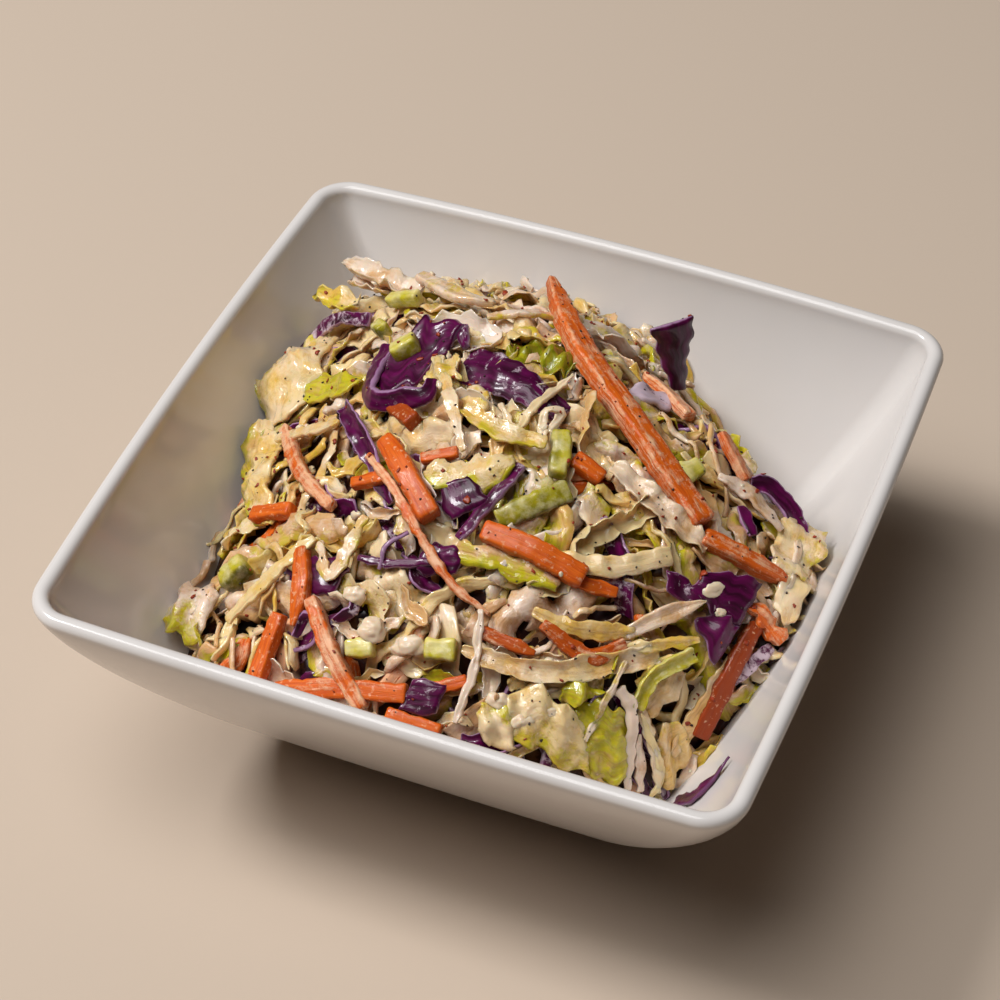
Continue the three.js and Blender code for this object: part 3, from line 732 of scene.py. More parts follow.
@dataclass
class Pile:
    """The growing top of the heap, as heights on a square grid.

    `top` is what lies there by now, `goal` where the heap should end, `roof` the underside of the
    pieces that have their own listed places, which the other shreds have to stay under, and `spare`
    how far the dome stands over the bowl's wall.
    """

    heap: HeapForm
    sink: float = 8.0         # depth that the shreds fill, from the core to the goal
    cell: float = 0.6
    reach: float = 68.0       # middle of the grid to its edges
    over_wall: float = 0.3    # least height over the bowl
    press: float = 0.6        # how far soft shreds settle into one another
    on_highest: float = 0.65  # how much a shred rests on the highest spot, not the mean
    rounds: int = 24          # of letting it down
    tilt: float = 0.7         # most by which it leans, in radians
    top: Array = field(init=False)
    goal: Array = field(init=False)
    roof: Array = field(init=False)
    spare: Array = field(init=False)

    def __post_init__(self) -> None:
        """Lays out the grid over the core and the bowl's wall."""
        line = np.arange(-self.reach, self.reach + self.cell / 2, self.cell)
        x, y = np.meshgrid(line, line, indexing="ij")
        wall = self.heap.bowl.inside_height(x, y) + self.over_wall
        dome = self.heap.dome(x, y)
        self.top = np.maximum(dome - self.sink, wall)
        self.goal = np.maximum(dome, wall + self.heap.wall_rest)
        self.roof = np.full_like(self.top, np.inf)
        self.spare = dome - wall

    def cells(self, spots: Array) -> tuple[Array, Array]:
        """Grid indices of spots."""
        at = np.clip(np.round((spots[..., :2] + self.reach) / self.cell), 0, len(self.top) - 1)
        return at[..., 0].astype(int), at[..., 1].astype(int)

    def cover(self, points: Array, hand_placed: bool = False) -> None:
        """Takes note of a piece that lies there now.

        Args:
            points: the points of its surface.
            hand_placed: True if other shreds have to stay under it.
        """
        i, j = self.cells(points)
        for di in (-1, 0, 1):
            for dj in (-1, 0, 1):
                spot = (np.clip(i + di, 0, len(self.top) - 1), np.clip(j + dj, 0, len(self.top) - 1))
                if hand_placed:
                    np.minimum.at(self.roof, spot, points[:, 2])
                else:
                    np.maximum.at(self.top, spot, points[:, 2])

    def settle(self, line: Array, width: float, thick: float, sag: float) -> tuple[Array, Array]:
        """Lets a strip down on the pile, bridging the gaps that it is too stiff to follow.

        Args:
            line: its middle line over the table, x and y.
            width: its width.
            thick: its thickness.
            sag: how sharply it may bend down between two points, in millimetres.

        Returns:
            The heights of its middle line, and its lean to the side in radians.
        """
        tangent = unit(np.gradient(line, axis=0))
        side = np.column_stack([tangent[:, 1], -tangent[:, 0]])
        offsets = np.linspace(-0.42, 0.42, 5) * width  # five spots across it
        spots = line[:, None] + side[:, None] * offsets[:, None]
        heights = self.top[self.cells(spots)]
        highest, mean = heights.max(axis=1), heights.mean(axis=1)
        base = self.on_highest * highest + (1 - self.on_highest) * mean
        lean = np.arctan2(heights[:, 3:].mean(axis=1) - heights[:, :2].mean(axis=1), 0.6 * width)
        taut = base.copy()
        for _ in range(self.rounds):
            bridge = (taut[:-2] + taut[2:]) / 2 - sag
            taut[1:-1] = np.maximum(base[1:-1], bridge)
        padded = np.pad(np.clip(lean, -self.tilt, self.tilt), 2, mode="edge")
        smooth = np.convolve(padded, np.ones(5) / 5, "valid")
        return taut + thick / 2 - self.press, -smooth

    def over(self, line: Array, heights: Array, thick: float) -> Triple:
        """How far a strip would stand over the goal, over the roof, and off the heap."""
        spot = self.cells(line)
        tops = heights + thick / 2
        return (float((tops - self.goal[spot]).max()), float((tops - self.roof[spot]).max()),
                float(-self.spare[spot].min()))

    def low_spots(self, least: float) -> Array:
        """Places where the pile is still lower than its goal by at least so much."""
        i, j = np.nonzero((self.goal - self.top > least) & (self.spare > 0))
        return np.column_stack([i, j]) * self.cell - self.reach


# ---- Finishes ----


@dataclass(frozen=True)
class Ports:
    """How `add` deals with a kind of node."""

    fills: tuple[int | str, ...] = ()           # the inputs that it fills, in order
    gives: int | str = 0                        # the output that it gives back
    always: dict = field(default_factory=dict)  # settings that the node always has here


PORTS = {
    "TexCoord": Ports(gives="Object"),
    "Attribute": Ports(gives="Vector"),
    "SeparateColor": Ports(("Color",)),
    "TexNoise": Ports(("Vector", "Scale", "Detail", "Roughness", "Distortion"), "Fac"),
    "Math": Ports((0, 1, 2)),
    "VectorMath": Ports((0, 1, 2, "Scale")),
    "MapRange": Ports(("Value", "From Min", "From Max", "To Min", "To Max")),
    "Mix": Ports((0, 6, 7), 2, {"data_type": "RGBA"}),  # a share and two colours
    "Bump": Ports(("Height", "Strength", "Distance")),
    "BsdfPrincipled": Ports(),
    "Background": Ports(("Color", "Strength")),
    "OutputMaterial": Ports(("Surface",)),
    "OutputWorld": Ports(("Surface",)),
}


def add(tree: Tree, kind: str, *inputs: object, named: dict | None = None,
        **settings: object) -> Socket | None:
    """Adds a node with its settings and links.

    Args:
        tree: where it goes.
        kind: Blender's name of the node's class, without "ShaderNode".
        inputs: other nodes' sockets, numbers or hex colours, in the order of its `Ports`. None
            leaves an input as it is.
        named: further inputs by name.
        settings: values of the node's own properties.

    Returns:
        The output that its `Ports` give back, if the node has any.
    """
    ports = PORTS[kind]
    node = tree.nodes.new("ShaderNode" + kind)
    for name, value in {**ports.always, **settings}.items():
        setattr(node, name, value)
    for key, value in {**dict(zip(ports.fills, inputs)), **(named or {})}.items():
        if isinstance(value, Socket):
            tree.links.new(value, node.inputs[key])
        elif value is not None:
            node.inputs[key].default_value = linear(value) if isinstance(value, str) else value
    return node.outputs[ports.gives] if node.outputs else None


@dataclass(frozen=True)
class Marks:
    """What the mesh of a cut vegetable tells its finish: its place, its grain and its tint."""

    at: Socket
    grain: Socket
    green: Socket
    edge: Socket
    coat: Socket
    chance: Socket


def marks(tree: Tree) -> Marks:
    """Adds the nodes that read a mesh's marks, which `Shell` explains."""
    tint = add(tree, "Attribute", attribute_name="tint").node.outputs
    parts = add(tree, "SeparateColor", tint["Color"]).node.outputs
    grain = add(tree, "Attribute", attribute_name="grain")
    return Marks(add(tree, "TexCoord"), grain, parts[0], parts[1], parts[2], tint["Alpha"])


def fibres(tree: Tree, grain: Socket, gap: float, stretch: float, detail: float,
           roughness: float | None = None) -> Socket:
    """Adds a pattern of veins or fibres that runs along the pieces.

    Args:
        tree: where it goes.
        grain: the millimetres along and across the piece.
        gap: millimetres from one fibre to the next.
        stretch: how many times as long as that they are.
        detail: how many finer layers it has.
        roughness: how strong these are.

    Returns:
        The height of the pattern.
    """
    fine = add(tree, "VectorMath", grain, (1 / (stretch * gap), 1 / gap, 1.0), operation="MULTIPLY")
    return add(tree, "TexNoise", fine, 1.0, detail, roughness)


@dataclass(frozen=True)
class Finish:
    """A finish: what the material is, and the shader's values that are the same all over it."""

    name: str
    ior: float = 1.45
    subsurface: float = 0.0
    scatter: Triple = (1.0, 0.6, 0.35)
    scatter_depth: float = 1.0  # mm
    coat: float = 0.0
    coat_roughness: float = 0.1
    specular: float = 0.5

    def paint(self, tree: Tree) -> dict:
        """Adds the nodes of the pattern and returns the shader's inputs that they feed."""
        raise NotImplementedError

    def material(self) -> bpy.types.Material:
        """Makes the material, or gives back the one that is there by this name."""
        if self.name in bpy.data.materials:
            return bpy.data.materials[self.name]
        material = bpy.data.materials.new(self.name)
        material.use_nodes = True
        tree = material.node_tree
        tree.nodes.clear()
        shader = add(tree, "BsdfPrincipled", named={
            "IOR": self.ior,
            "Specular IOR Level": self.specular,
            "Subsurface Weight": self.subsurface,
            "Subsurface Radius": self.scatter,
            "Subsurface Scale": self.scatter_depth * MM,
            "Coat Weight": self.coat,
            "Coat Roughness": self.coat_roughness,
            **self.paint(tree),
        })
        add(tree, "OutputMaterial", shader)
        return material


@dataclass(frozen=True)
class GlazedPorcelain(Finish):
    """White porcelain, slip cast and glazed: a warm white under a smooth glass skin."""

    name: str = "glazed_porcelain"
    ior: float = 1.5
    body: str = "#dfdad7"
    shade: str = "#d6d0cc"     # where the glaze has pooled
    roughness: float = 0.16
    pool: float = 30.0         # mm between places where the glaze pools
    orange_peel: float = 14.0  # mm between its faint waves

    def paint(self, tree: Tree) -> dict:
        """Faint pooling of the glaze in colour, and slow waves in its surface."""
        at = add(tree, "TexCoord")
        pool = add(tree, "TexNoise", at, per_metre(self.pool), 3.0)
        body = add(tree, "Mix", pool, self.body, self.shade)
        peel = add(tree, "TexNoise", at, per_metre(self.orange_peel), 2.0)
        bump = add(tree, "Bump", peel, 0.08, 0.5 * MM)
        return {"Base Color": body, "Roughness": self.roughness, "Normal": bump}


@dataclass(frozen=True)
class BarePorcelain(Finish):
    """The foot ring, wiped free of glaze before firing: dull and slightly sandy."""

    name: str = "bare_porcelain"
    body: str = "#d9d0c6"
    sand: float = 0.5  # mm between its grains

    def paint(self, tree: Tree) -> dict:
        """Fine grain like that of sand."""
        sand = add(tree, "TexNoise", add(tree, "TexCoord"), per_metre(self.sand), 4.0)
        bump = add(tree, "Bump", sand, 0.4, 0.1 * MM)
        return {"Base Color": self.body, "Roughness": 0.75, "Normal": bump}


@dataclass(frozen=True)
class DressedCabbage(Finish):
    """White cabbage, shredded and tossed in dressing: pale wet flesh under a patchy creamy film."""

    name: str = "dressed_cabbage"
    subsurface: float = 0.4
    scatter_depth: float = 1.3
    coat: float = 0.85
    coat_roughness: float = 0.05
    specular: float = 0.3
    flesh: str = "#dfb277"
    glassy: str = "#c99b70"   # where the flesh is wet through
    yellow: str = "#e0b445"
    groove_shade: str = "#a67332"   # between two veins: partly their own colour, partly painted shade in the grooves
    fresh: str = "#c8bb1e"    # yellow-green of the leafy parts
    deep: str = "#84840c"     # green of the outer leaves
    film: str = "#efd8c6"
    buttery: str = "#ebd09e"  # the dressing where it has taken up the yellow
    vein: float = 0.7         # mm between veins
    cloud: float = 8.0        # mm between patches of one tone of flesh
    mottle: float = 2.6       # mm between the mottles where green begins
    patch: float = 5.0        # mm between patches of dressing
    lump: float = 1.8         # mm between lumps in the dressing

    def paint(self, tree: Tree) -> dict:
        """Veins along the shred, green towards its edges, and a broken film of dressing."""
        mark = marks(tree)
        # Three tones of flesh, by the piece and by slow patches within it.
        slow = add(tree, "TexNoise", mark.at, per_metre(self.cloud), 3.0)
        mood = add(tree, "Math", slow, mark.chance, operation="ADD")
        glassy = add(tree, "MapRange", mood, 0.95, 0.6, None, 0.8)
        yellow = add(tree, "MapRange", mood, 1.0, 1.35, None, 0.88)
        base = add(tree, "Mix", glassy, self.flesh, self.glassy)
        base = add(tree, "Mix", yellow, base, self.yellow)
        # Green from the tint, with a mottled border.
        mottle = add(tree, "TexNoise", mark.at, per_metre(self.mottle), 4.0, 0.6)
        shift = add(tree, "MapRange", mottle, 0.3, 0.7, -0.28, 0.28)
        greener = add(tree, "Math", mark.green, shift, operation="ADD")
        lime = add(tree, "MapRange", greener, 0.22, 0.6)
        leafy = add(tree, "MapRange", greener, 0.65, 1.2)
        base = add(tree, "Mix", lime, base, self.fresh)
        base = add(tree, "Mix", leafy, base, self.deep)
        # Veins along the piece, in colour and relief; the darker colour in their grooves is partly
        # painted shade.
        veins = fibres(tree, mark.grain, self.vein, 9, 3.0, 0.6)
        streak = add(tree, "MapRange", veins, 0.5, 0.3, None, 0.6)
        veined = add(tree, "Mix", streak, base, self.groove_shade)
        # The film of dressing, thick in some places and rubbed off in others, thinner on green.
        drops = add(tree, "TexNoise", mark.at, per_metre(self.patch), 5.0, 0.62)
        coat = add(tree, "Math", drops, mark.coat, operation="ADD")
        bare = add(tree, "Math", lime, -0.22, coat, operation="MULTIPLY_ADD")
        film = add(tree, "MapRange", bare, 0.87, 1.1, None, 0.87)
        tone = add(tree, "MapRange", mood, 0.8, 1.35)
        cream = add(tree, "Mix", tone, self.film, self.buttery)
        colour = add(tree, "Mix", film, veined, cream)
        lumps = add(tree, "TexNoise", mark.at, per_metre(self.lump), 3.0, 0.5)
        relief = add(tree, "Math", veins, 0.9, film, operation="MULTIPLY_ADD")
        relief = add(tree, "Math", lumps, 0.9, relief, operation="MULTIPLY_ADD")
        bump = add(tree, "Bump", relief, 0.5, 0.4 * MM)
        gloss = add(tree, "Bump", lumps, 0.7, 0.5 * MM)
        return {"Base Color": colour, "Roughness": 0.38, "Normal": bump, "Coat Normal": gloss}


@dataclass(frozen=True)
class CutCarrot(Finish):
    """Raw carrot, cut in batons: fibrous orange flesh with a thin smear of dressing."""

    name: str = "cut_carrot"
    subsurface: float = 0.25
    scatter: Triple = (1.0, 0.4, 0.15)
    scatter_depth: float = 1.2
    coat: float = 0.3
    coat_roughness: float = 0.08
    specular: float = 0.25
    flesh: str = "#dd6817"
    core: str = "#bd480c"  # between two fibres
    deep: str = "#86300a"  # painted shade: the flesh of a baton that lies in shade, where its tint is raised
    film: str = "#efc49c"
    fibre: float = 0.55    # mm between fibres
    patch: float = 2.8     # mm between patches of dressing
    streak: float = 1.25   # mm between streaks of dressing
    speck: float = 0.9     # mm between specks of dressing

    def paint(self, tree: Tree) -> dict:
        """Fibres along the baton, painted shade where its tint is raised, and streaks of thin
        dressing that let the orange through.
        """
        mark = marks(tree)
        strands = fibres(tree, mark.grain, self.fibre, 14, 3.0, 0.65)
        lit = add(tree, "MapRange", strands, 0.3, 0.6)
        flesh = add(tree, "Mix", lit, self.core, self.flesh)
        # Painted shade: a raised tint darkens the flesh of a baton that lies in shade.
        flesh = add(tree, "Mix", mark.green, flesh, self.deep)
        smear = add(tree, "TexNoise", mark.at, per_metre(self.patch), 5.0, 0.7)
        streaks = fibres(tree, mark.grain, self.streak, 80 / 9, 4.0, 0.6)
        both = add(tree, "Math", smear, streaks, operation="ADD")
        specks = add(tree, "TexNoise", mark.at, per_metre(self.speck), 2.0)
        speckle = add(tree, "MapRange", specks, 0.6, 0.7, None, 0.45)
        coat = add(tree, "Math", both, 0.5, mark.coat, operation="MULTIPLY_ADD")
        film = add(tree, "MapRange", coat, 0.79, 0.91, None, 0.75)
        dusted = add(tree, "Math", film, speckle, operation="MAXIMUM")
        colour = add(tree, "Mix", dusted, flesh, self.film)
        relief = add(tree, "Math", strands, 0.6, film, operation="MULTIPLY_ADD")
        bump = add(tree, "Bump", relief, 0.7, 0.3 * MM)
        return {"Base Color": colour, "Roughness": 0.45, "Normal": bump, "Coat Normal": bump}


@dataclass(frozen=True)
class RedCabbage(Finish):
    """Red cabbage, sliced: waxy violet skin, lilac cut edges and milky streaks of dressing."""

    name: str = "red_cabbage_leaf"
    subsurface: float = 0.08
    scatter_depth: float = 0.8
    coat: float = 0.45
    coat_roughness: float = 0.07
    specular: float = 0.25
    skin: str = "#5e0845"
    dark: str = "#330220"
    cut: str = "#a87fa3"
    milk: str = "#d6c0cb"
    vein: float = 1.3    # mm between veins
    wear: float = 1.5    # mm between pale spots near the cut
    streak: float = 2.4  # mm between streaks of dressing

    def paint(self, tree: Tree) -> dict:
        """Dark skin mottled along its veins, pale at the cut, with streaks of thin dressing."""
        mark = marks(tree)
        veins = fibres(tree, mark.grain, self.vein, 5, 3.0)
        deep = add(tree, "MapRange", veins, 0.35, 0.65)
        skin = add(tree, "Mix", deep, self.dark, self.skin)
        rough = add(tree, "TexNoise", mark.at, per_metre(self.wear), 3.0, 0.6)
        worn = add(tree, "Math", rough, 0.9, mark.edge, operation="MULTIPLY_ADD")
        edge = add(tree, "MapRange", worn, 0.75, 1.3, None, 0.9)
        pale = add(tree, "Mix", edge, skin, self.cut)
        streaks = add(tree, "TexNoise", mark.at, per_metre(self.streak), 5.0, 0.66, 0.5)
        coat = add(tree, "Math", streaks, mark.coat, operation="ADD")
        film = add(tree, "MapRange", coat, 0.9, 1.02, None, 0.88)
        colour = add(tree, "Mix", film, pale, self.milk)
        relief = add(tree, "Math", film, 0.7, veins, operation="MULTIPLY_ADD")
        bump = add(tree, "Bump", relief, 0.5, 0.35 * MM)
        return {"Base Color": colour, "Roughness": 0.38, "Normal": bump, "Coat Normal": bump}


@dataclass(frozen=True)
class GreenStalk(Finish):
    """Spring onion and green stalk, cut: juicy, half clear green with a wet skin."""

    name: str = "green_stalk"
    subsurface: float = 0.4
    scatter_depth: float = 1.6
    coat: float = 0.4
    coat_roughness: float = 0.08
    specular: float = 0.3
    pale: str = "#dccd70"
    bright: str = "#bdb01a"
    dark: str = "#5f5808"
    film: str = "#eadfb8"
    rib: float = 5 / 6  # mm between ribs
    cloud: float = 3.0  # mm between patches of one tone
    patch: float = 2.6  # mm between patches of dressing

    def paint(self, tree: Tree) -> dict:
        """Green from pale to dark by the piece, ribs along it and a thin smear of dressing."""
        mark = marks(tree)
        ribs = fibres(tree, mark.grain, self.rib, 10, 2.0)
        cloud = add(tree, "TexNoise", mark.at, per_metre(self.cloud), 3.0)
        tone = add(tree, "Math", cloud, 0.8, mark.green, operation="MULTIPLY_ADD")
        tone = add(tree, "Math", mark.edge, 0.25, tone, operation="MULTIPLY_ADD")
        light = add(tree, "MapRange", tone, 0.4, 0.9)
        deep = add(tree, "MapRange", tone, 0.9, 1.4)
        colour = add(tree, "Mix", light, self.pale, self.bright)
        colour = add(tree, "Mix", deep, colour, self.dark)
        streak = add(tree, "MapRange", ribs, 0.3, 0.7, 0.82, 1.12)
        ribbed = add(tree, "VectorMath", colour, None, None, streak, operation="SCALE")
        smear = add(tree, "TexNoise", mark.at, per_metre(self.patch), 5.0, 0.65)
        coat = add(tree, "Math", smear, mark.coat, operation="ADD")
        film = add(tree, "MapRange", coat, 0.85, 1.2, None, 0.75)
        wet = add(tree, "Mix", film, ribbed, self.film)
        bump = add(tree, "Bump", smear, 0.4, 0.3 * MM)
        return {"Base Color": wet, "Roughness": 0.4, "Normal": bump, "Coat Normal": bump}


@dataclass(frozen=True)
class CreamyDressing(Finish):
    """Mayonnaise dressing: an off-white emulsion, glossy where it gathers in beads."""

    name: str = "creamy_dressing"
    subsurface: float = 0.5
    scatter_depth: float = 1.2
    cream: str = "#e6cfb2"
    ripple: float = 1.2  # mm between its soft bumps

    def paint(self, tree: Tree) -> dict:
        """Soft unevenness."""
        soft = add(tree, "TexNoise", add(tree, "TexCoord"), per_metre(self.ripple), 3.0)
        bump = add(tree, "Bump", soft, 0.3, 0.25 * MM)
        return {"Base Color": self.cream, "Roughness": 0.2, "Normal": bump}


@dataclass(frozen=True)
class DriedSpice(Finish):
    """Crushed spice: dull dark flakes, here and there shiny where the dressing wets them."""

    name: str = "chilli_flake"
    light: str = "#b4441f"
    dark: str = "#65200c"
    roughness: float = 0.4
    mottle: float = 1.4  # mm between its mottles

    def paint(self, tree: Tree) -> dict:
        """Mottle within the flakes, and from flake to flake."""
        mottle = add(tree, "TexNoise", add(tree, "TexCoord"), per_metre(self.mottle), 2.0)
        return {"Base Color": add(tree, "Mix", mottle, self.dark, self.light),
                "Roughness": self.roughness}


@dataclass(frozen=True)
class HeapShade(Finish):
    """Painted shade: what shows deep between the shreds, as wet slaw looks in the shade, brown,
    purple and cream.
    """

    name: str = "slaw_painted_shade"
    # Painted shade: slaw colours darkened as they look deep in the heap's shade.
    shaded_brown: str = "#3a1a09"
    shaded_purple: str = "#240714"
    cream: str = "#6b4726"
    broad: float = 6.0   # mm between brown and purple patches
    narrow: float = 3.5  # mm between cream patches

    def paint(self, tree: Tree) -> dict:
        """Patches of painted shade as large as the shreds are wide."""
        at = add(tree, "TexCoord")
        one = add(tree, "TexNoise", at, per_metre(self.broad), 3.0)
        two = add(tree, "TexNoise", at, per_metre(self.narrow), 4.0)
        dark = add(tree, "Mix", add(tree, "MapRange", one, 0.4, 0.6), self.shaded_purple, self.shaded_brown)
        colour = add(tree, "Mix", add(tree, "MapRange", two, 0.48, 0.66), dark, self.cream)
        bump = add(tree, "Bump", two, 0.3, 0.6 * MM)
        return {"Base Color": colour, "Roughness": 0.4, "Normal": bump}


@dataclass(frozen=True)
class PaleTable(Finish):
    """The studio's floor: a plain matt board in a pale warm tone."""

    name: str = "pale_table"
    board: str = "#c9b7a5"

    def paint(self, tree: Tree) -> dict:
        """One colour."""
        return {"Base Color": self.board, "Roughness": 0.9}


# ---- The sub-assemblies ----


@dataclass
class PorcelainBowl:
    """The square bowl with its foot ring."""

    form: BowlForm
    bare_height: float = 0.3  # faces of the foot lower than this carry no glaze

    def build(self) -> Piece:
        """Makes the bowl's mesh and dresses it."""
        batch = Batch("porcelain_bowl", [self.form.shell()])
        piece = dress(batch, "porcelain", GlazedPorcelain(), BarePorcelain(), stands_for="bowl")
        for face in piece.data.polygons:
            face.material_index = int(face.center.z < self.bare_height * MM)
        return piece


class Kind(Enum):
    """The kinds of piece that are strewn over the heap."""

    SCRAP = "scrap"
    RIB = "rib"
    SHRED = "shred"
    THREAD = "thread"
    FRILL = "frill"
    CARROT = "carrot"
    RED = "red"
    CHIP = "chip"


CABBAGE = (Kind.SCRAP, Kind.RIB, Kind.SHRED, Kind.THREAD, Kind.FRILL, Kind.CHIP)


@dataclass(frozen=True)
class Recipe:
    """Ranges of size and form that a strewn kind is drawn from; see `Cut` for what isn't said."""

    length: Pair
    width: Pair
    thick: Pair
    bend: float = 0.5     # how far it bends aside
    sag: float = 0.12     # how sharply it may bend down, in mm a point
    square: float = 4.0
    cup: float = 0.4
    ruffle: float = 0.25
    ridge: float = 0.06
    jag: float = 0.25
    crumple: float = 0.35
    green: Pair = (0.0, 0.5)
    greens: float = 0.45  # share of the pieces that have some green
    coat: Pair = (0.35, 0.65)
    ends: Pair = (0.25, 0.9)
    skew: float = 0.5
    roll: float = 12.0
    wobble: float = 0.22
    sides: int = 12
    step: float = 0.9


RECIPES = {
    Kind.SCRAP: Recipe((14, 32), (4.0, 9.0), (0.7, 1.2), bend=0.45, sag=0.16, square=3.2, cup=1.2,
                       ruffle=0.5, jag=0.5, crumple=0.5, ends=(0.3, 1), roll=20, sides=24, step=0.75,
                       coat=(0.4, 0.75)),
    Kind.RIB: Recipe((14, 34), (2.6, 4.6), (1.4, 2.2), cup=0.45, ruffle=0.1, ridge=0.12, jag=0.15,
                     crumple=0.12, green=(0, 0.3), sides=14),
    Kind.SHRED: Recipe((16, 40), (1.8, 3.8), (0.8, 1.3), bend=0.6, sag=0.16, cup=0.5,
                       crumple=0.25, sides=14),
    Kind.THREAD: Recipe((8, 24), (0.9, 1.8), (0.7, 1.2), bend=0.8, sag=0.25, cup=0.05, ruffle=0.1,
                        jag=0.1, crumple=0.2, square=2.6, sides=8),
    Kind.FRILL: Recipe((9, 22), (3.4, 7.0), (0.5, 0.8), bend=0.4, sag=0.25, cup=0.7, ruffle=0.55,
                       jag=0.4, crumple=0.6, green=(0.1, 0.95), greens=1.0, wobble=0.3, sides=20,
                       step=0.8),
    Kind.CARROT: Recipe((9, 24), (2.2, 3.8), (1.7, 2.8), bend=0.25, sag=0.05, square=7, cup=0,
                        ruffle=0, ridge=0, jag=0, crumple=0, greens=0, coat=(0.2, 0.6),
                        ends=(0.6, 1), skew=0.2, wobble=0.06, sides=18),
    Kind.RED: Recipe((8, 20), (2.6, 5.0), (0.9, 1.3), bend=0.8, sag=0.2, cup=0.7, ruffle=0.3,
                     ridge=0, jag=0.15, crumple=0.3, greens=0, coat=(0.15, 0.5), roll=25, sides=16),
    Kind.CHIP: Recipe((5, 12), (1.6, 4.0), (0.6, 1.1), bend=0.4, sag=0.3, cup=0.8, ruffle=0.3,
                      jag=0.3, wobble=0.3, roll=20),
}


@dataclass(frozen=True)
class Layer:
    """One pass of strewing."""

    tries: int
    over: float           # how far pieces may stand over the goal
    least: float          # only where the pile is lower than the goal by this
    shares: tuple[tuple[Kind, float], ...]
    grading: float = 0.0  # share of headings that follow the heap's lie


LAYERS = (
    Layer(2200, -1.2, 3.4, ((Kind.SHRED, 0.15), (Kind.SCRAP, 0.4), (Kind.RIB, 0.17),
                            (Kind.CARROT, 0.14), (Kind.RED, 0.14)), 0.4),
    Layer(2600, 0.6, 1.4, ((Kind.SCRAP, 0.5), (Kind.SHRED, 0.1), (Kind.RIB, 0.12),
                           (Kind.FRILL, 0.12), (Kind.CARROT, 0.08), (Kind.RED, 0.08)), 0.75),
    Layer(2600, 1.9, 0.3, ((Kind.SCRAP, 0.55), (Kind.SHRED, 0.14), (Kind.RIB, 0.1),
                           (Kind.FRILL, 0.15), (Kind.THREAD, 0.06)), 0.85),
    Layer(4000, 1.2, 2.2, ((Kind.CHIP, 0.45), (Kind.THREAD, 0.15), (Kind.SHRED, 0.3),
                           (Kind.RED, 0.1)), 0.6),
    Layer(420, 2.6, -0.6, ((Kind.CHIP, 0.3), (Kind.THREAD, 0.4), (Kind.SHRED, 0.2),
                           (Kind.FRILL, 0.1)), 0.7),
)


